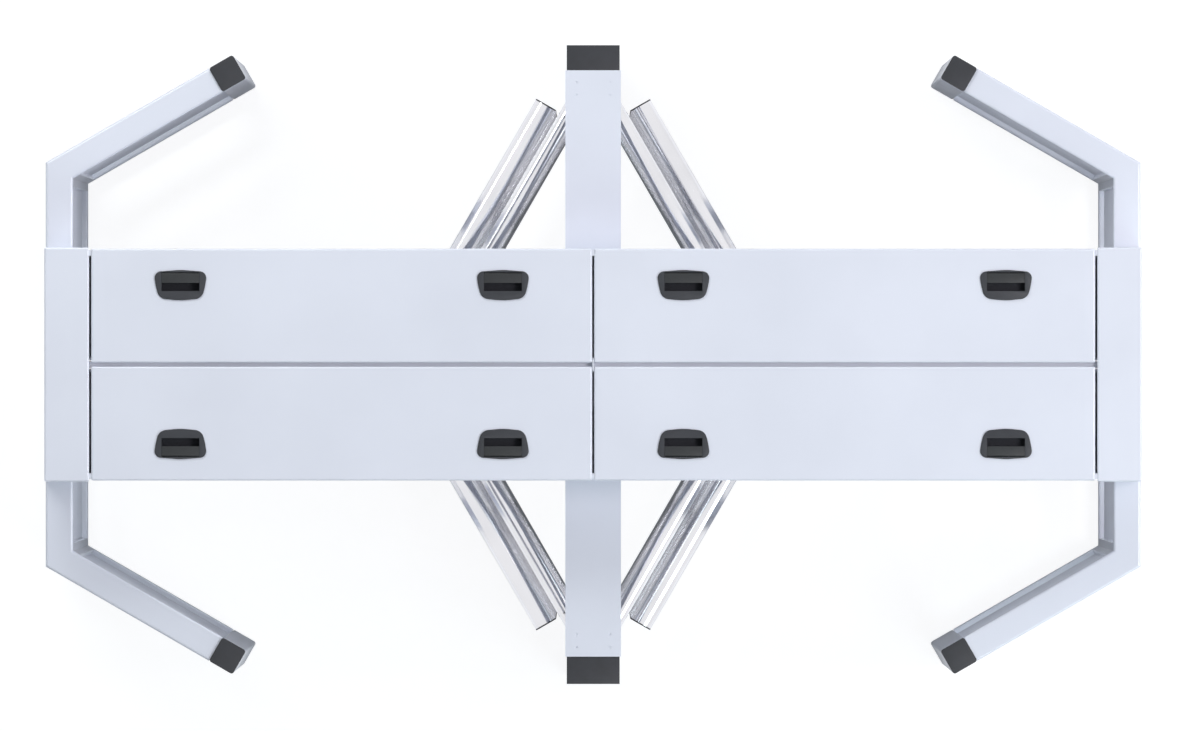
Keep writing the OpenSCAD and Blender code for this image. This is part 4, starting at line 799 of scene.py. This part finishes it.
# latches and caps with the small edge radius of moulded parts, in millimetres and degrees:
# segments and angle are the bevel's, merge and flat clean the copy before it
softEdge = {"bezel": 0.7, "paddle": 0.6, "cap": 1.2, "segments": 3, "angle": 40.0, "merge": 0.02,
            "flat": 0.6}
# the bezels' flanges: height of their top, thickness, the height below which the cup takes its
# painted shade, the hole's reach, and how far the outline goes out; near and slack: how close
# counts as on it
flange = {"top": 2300.0, "thick": 2.0, "shadeLining": 2297.5, "halfWidth": 57.0, "holeHalf": 42.0,
          "holeY": (-13.0, 28.6), "fade": (10.0, 15.0), "growth": 1.027, "rise": 0.5,
          "wideBow": 0.6, "narrowBow": 1.1, "near": 0.02, "slack": 0.5}


def softened(name, nodeName, body, slotName, width):
    # merged copy of a solid whose flat faces are whole again, its sharp edges cut and rounded
    mesh = bpy.data.meshes.new(name)
    tidy = bmesh.new()
    tidy.from_mesh(nodes[nodeName].data)
    bmesh.ops.remove_doubles(tidy, verts=tidy.verts, dist=softEdge["merge"] / 1000)
    bmesh.ops.dissolve_limit(tidy, angle_limit=math.radians(softEdge["flat"]),
                             verts=tidy.verts, edges=tidy.edges)
    bmesh.ops.recalc_face_normals(tidy, faces=tidy.faces)
    tidy.to_mesh(mesh)
    tidy.free()
    mesh.shade_smooth()
    mesh.materials.append(finishes[slotName])
    piece = bpy.data.objects.new(name, mesh)
    scene.collection.objects.link(piece)
    bevel = piece.modifiers.new("softEdges", "BEVEL")
    bevel.width = width / 1000
    bevel.segments = softEdge["segments"]
    bevel.limit_method = "ANGLE"
    bevel.angle_limit = math.radians(softEdge["angle"])
    bevel.harden_normals = True
    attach(piece, body)
    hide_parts(nodeName)
    return piece


def fullerFlange(mesh):
    # a bezel's outline pressed out, as moulded: with x and y from the latch's middle, x grows by
    # growth, and its long edges move out by rise + bow * (1 - (x / halfWidth)^2), which fades in
    # along the short edges
    f = flange
    points = np.empty(len(mesh.vertices) * 3)
    mesh.vertices.foreach_get("co", points)
    points = points.reshape(-1, 3) * 1000
    inner, outer = places["latchX"]
    middle = np.where(np.abs(points[:, 0]) < (inner + outer) / 2, inner, outer)
    middle = middle * np.sign(points[:, 0])
    outward = np.sign(points[:, 1])
    x, y = points[:, 0] - middle, points[:, 1] * outward - places["latchY"]
    inHole = (np.abs(x) < f["holeHalf"]) & (y > f["holeY"][0]) & (y < f["holeY"][1])
    rim = (points[:, 2] > f["top"] - f["slack"]) & ~inHole
    apart = np.hypot(points[:, None, 0] - points[None, rim, 0],
                     points[:, None, 1] - points[None, rim, 1])
    moved = apart.min(axis=1) < f["near"]
    moved &= points[:, 2] > f["top"] - f["thick"] - f["slack"]
    crown = 1 - (x / f["halfWidth"]) ** 2
    start, length = f["fade"]
    wide, narrow = (np.clip((way * y - start) / length, 0, 1) for way in (1, -1))
    x = x * f["growth"]
    y = y + wide * (f["rise"] + f["wideBow"] * crown) - narrow * f["narrowBow"] * crown
    points[moved, 0] = (middle + x)[moved]
    points[moved, 1] = (outward * (places["latchY"] + y))[moved]
    mesh.vertices.foreach_set("co", (points / 1000).ravel())
    mesh.update()


def shadeLiningBelow(mesh, height, shadeLining):
    # faces whose middle lies under a height in millimetres take a second material, the cup's
    # painted shade
    mesh.materials.append(shadeLining)
    middles = np.empty(len(mesh.polygons) * 3)
    mesh.polygons.foreach_get("center", middles)
    under = middles.reshape(-1, 3)[:, 2] < height / 1000
    mesh.polygons.foreach_set("material_index", under.astype(np.int32))


for side in ("left", "right"):
    for row in ("rear", "front"):
        lid = side + "_" + row
        bezels = softened(lid + "_bezel_mouldings", lid + "_bezels", lid + "_lid_door",
                          "latch_plastic", softEdge["bezel"])
        fullerFlange(bezels.data)
        # faces low inside the cup take the painted shade
        shadeLiningBelow(bezels.data, flange["shadeLining"], cupShadeLining)
        for spot in ("outer", "inner"):
            latch = lid + "_" + spot
            softened(latch + "_paddle_moulding", latch + "_paddle", latch + "_latch",
                     "paddle_plastic", softEdge["paddle"])
softened("post_cap_mouldings", "post_caps", "frame", "cap_plastic", softEdge["cap"])
print("mouldings ready")
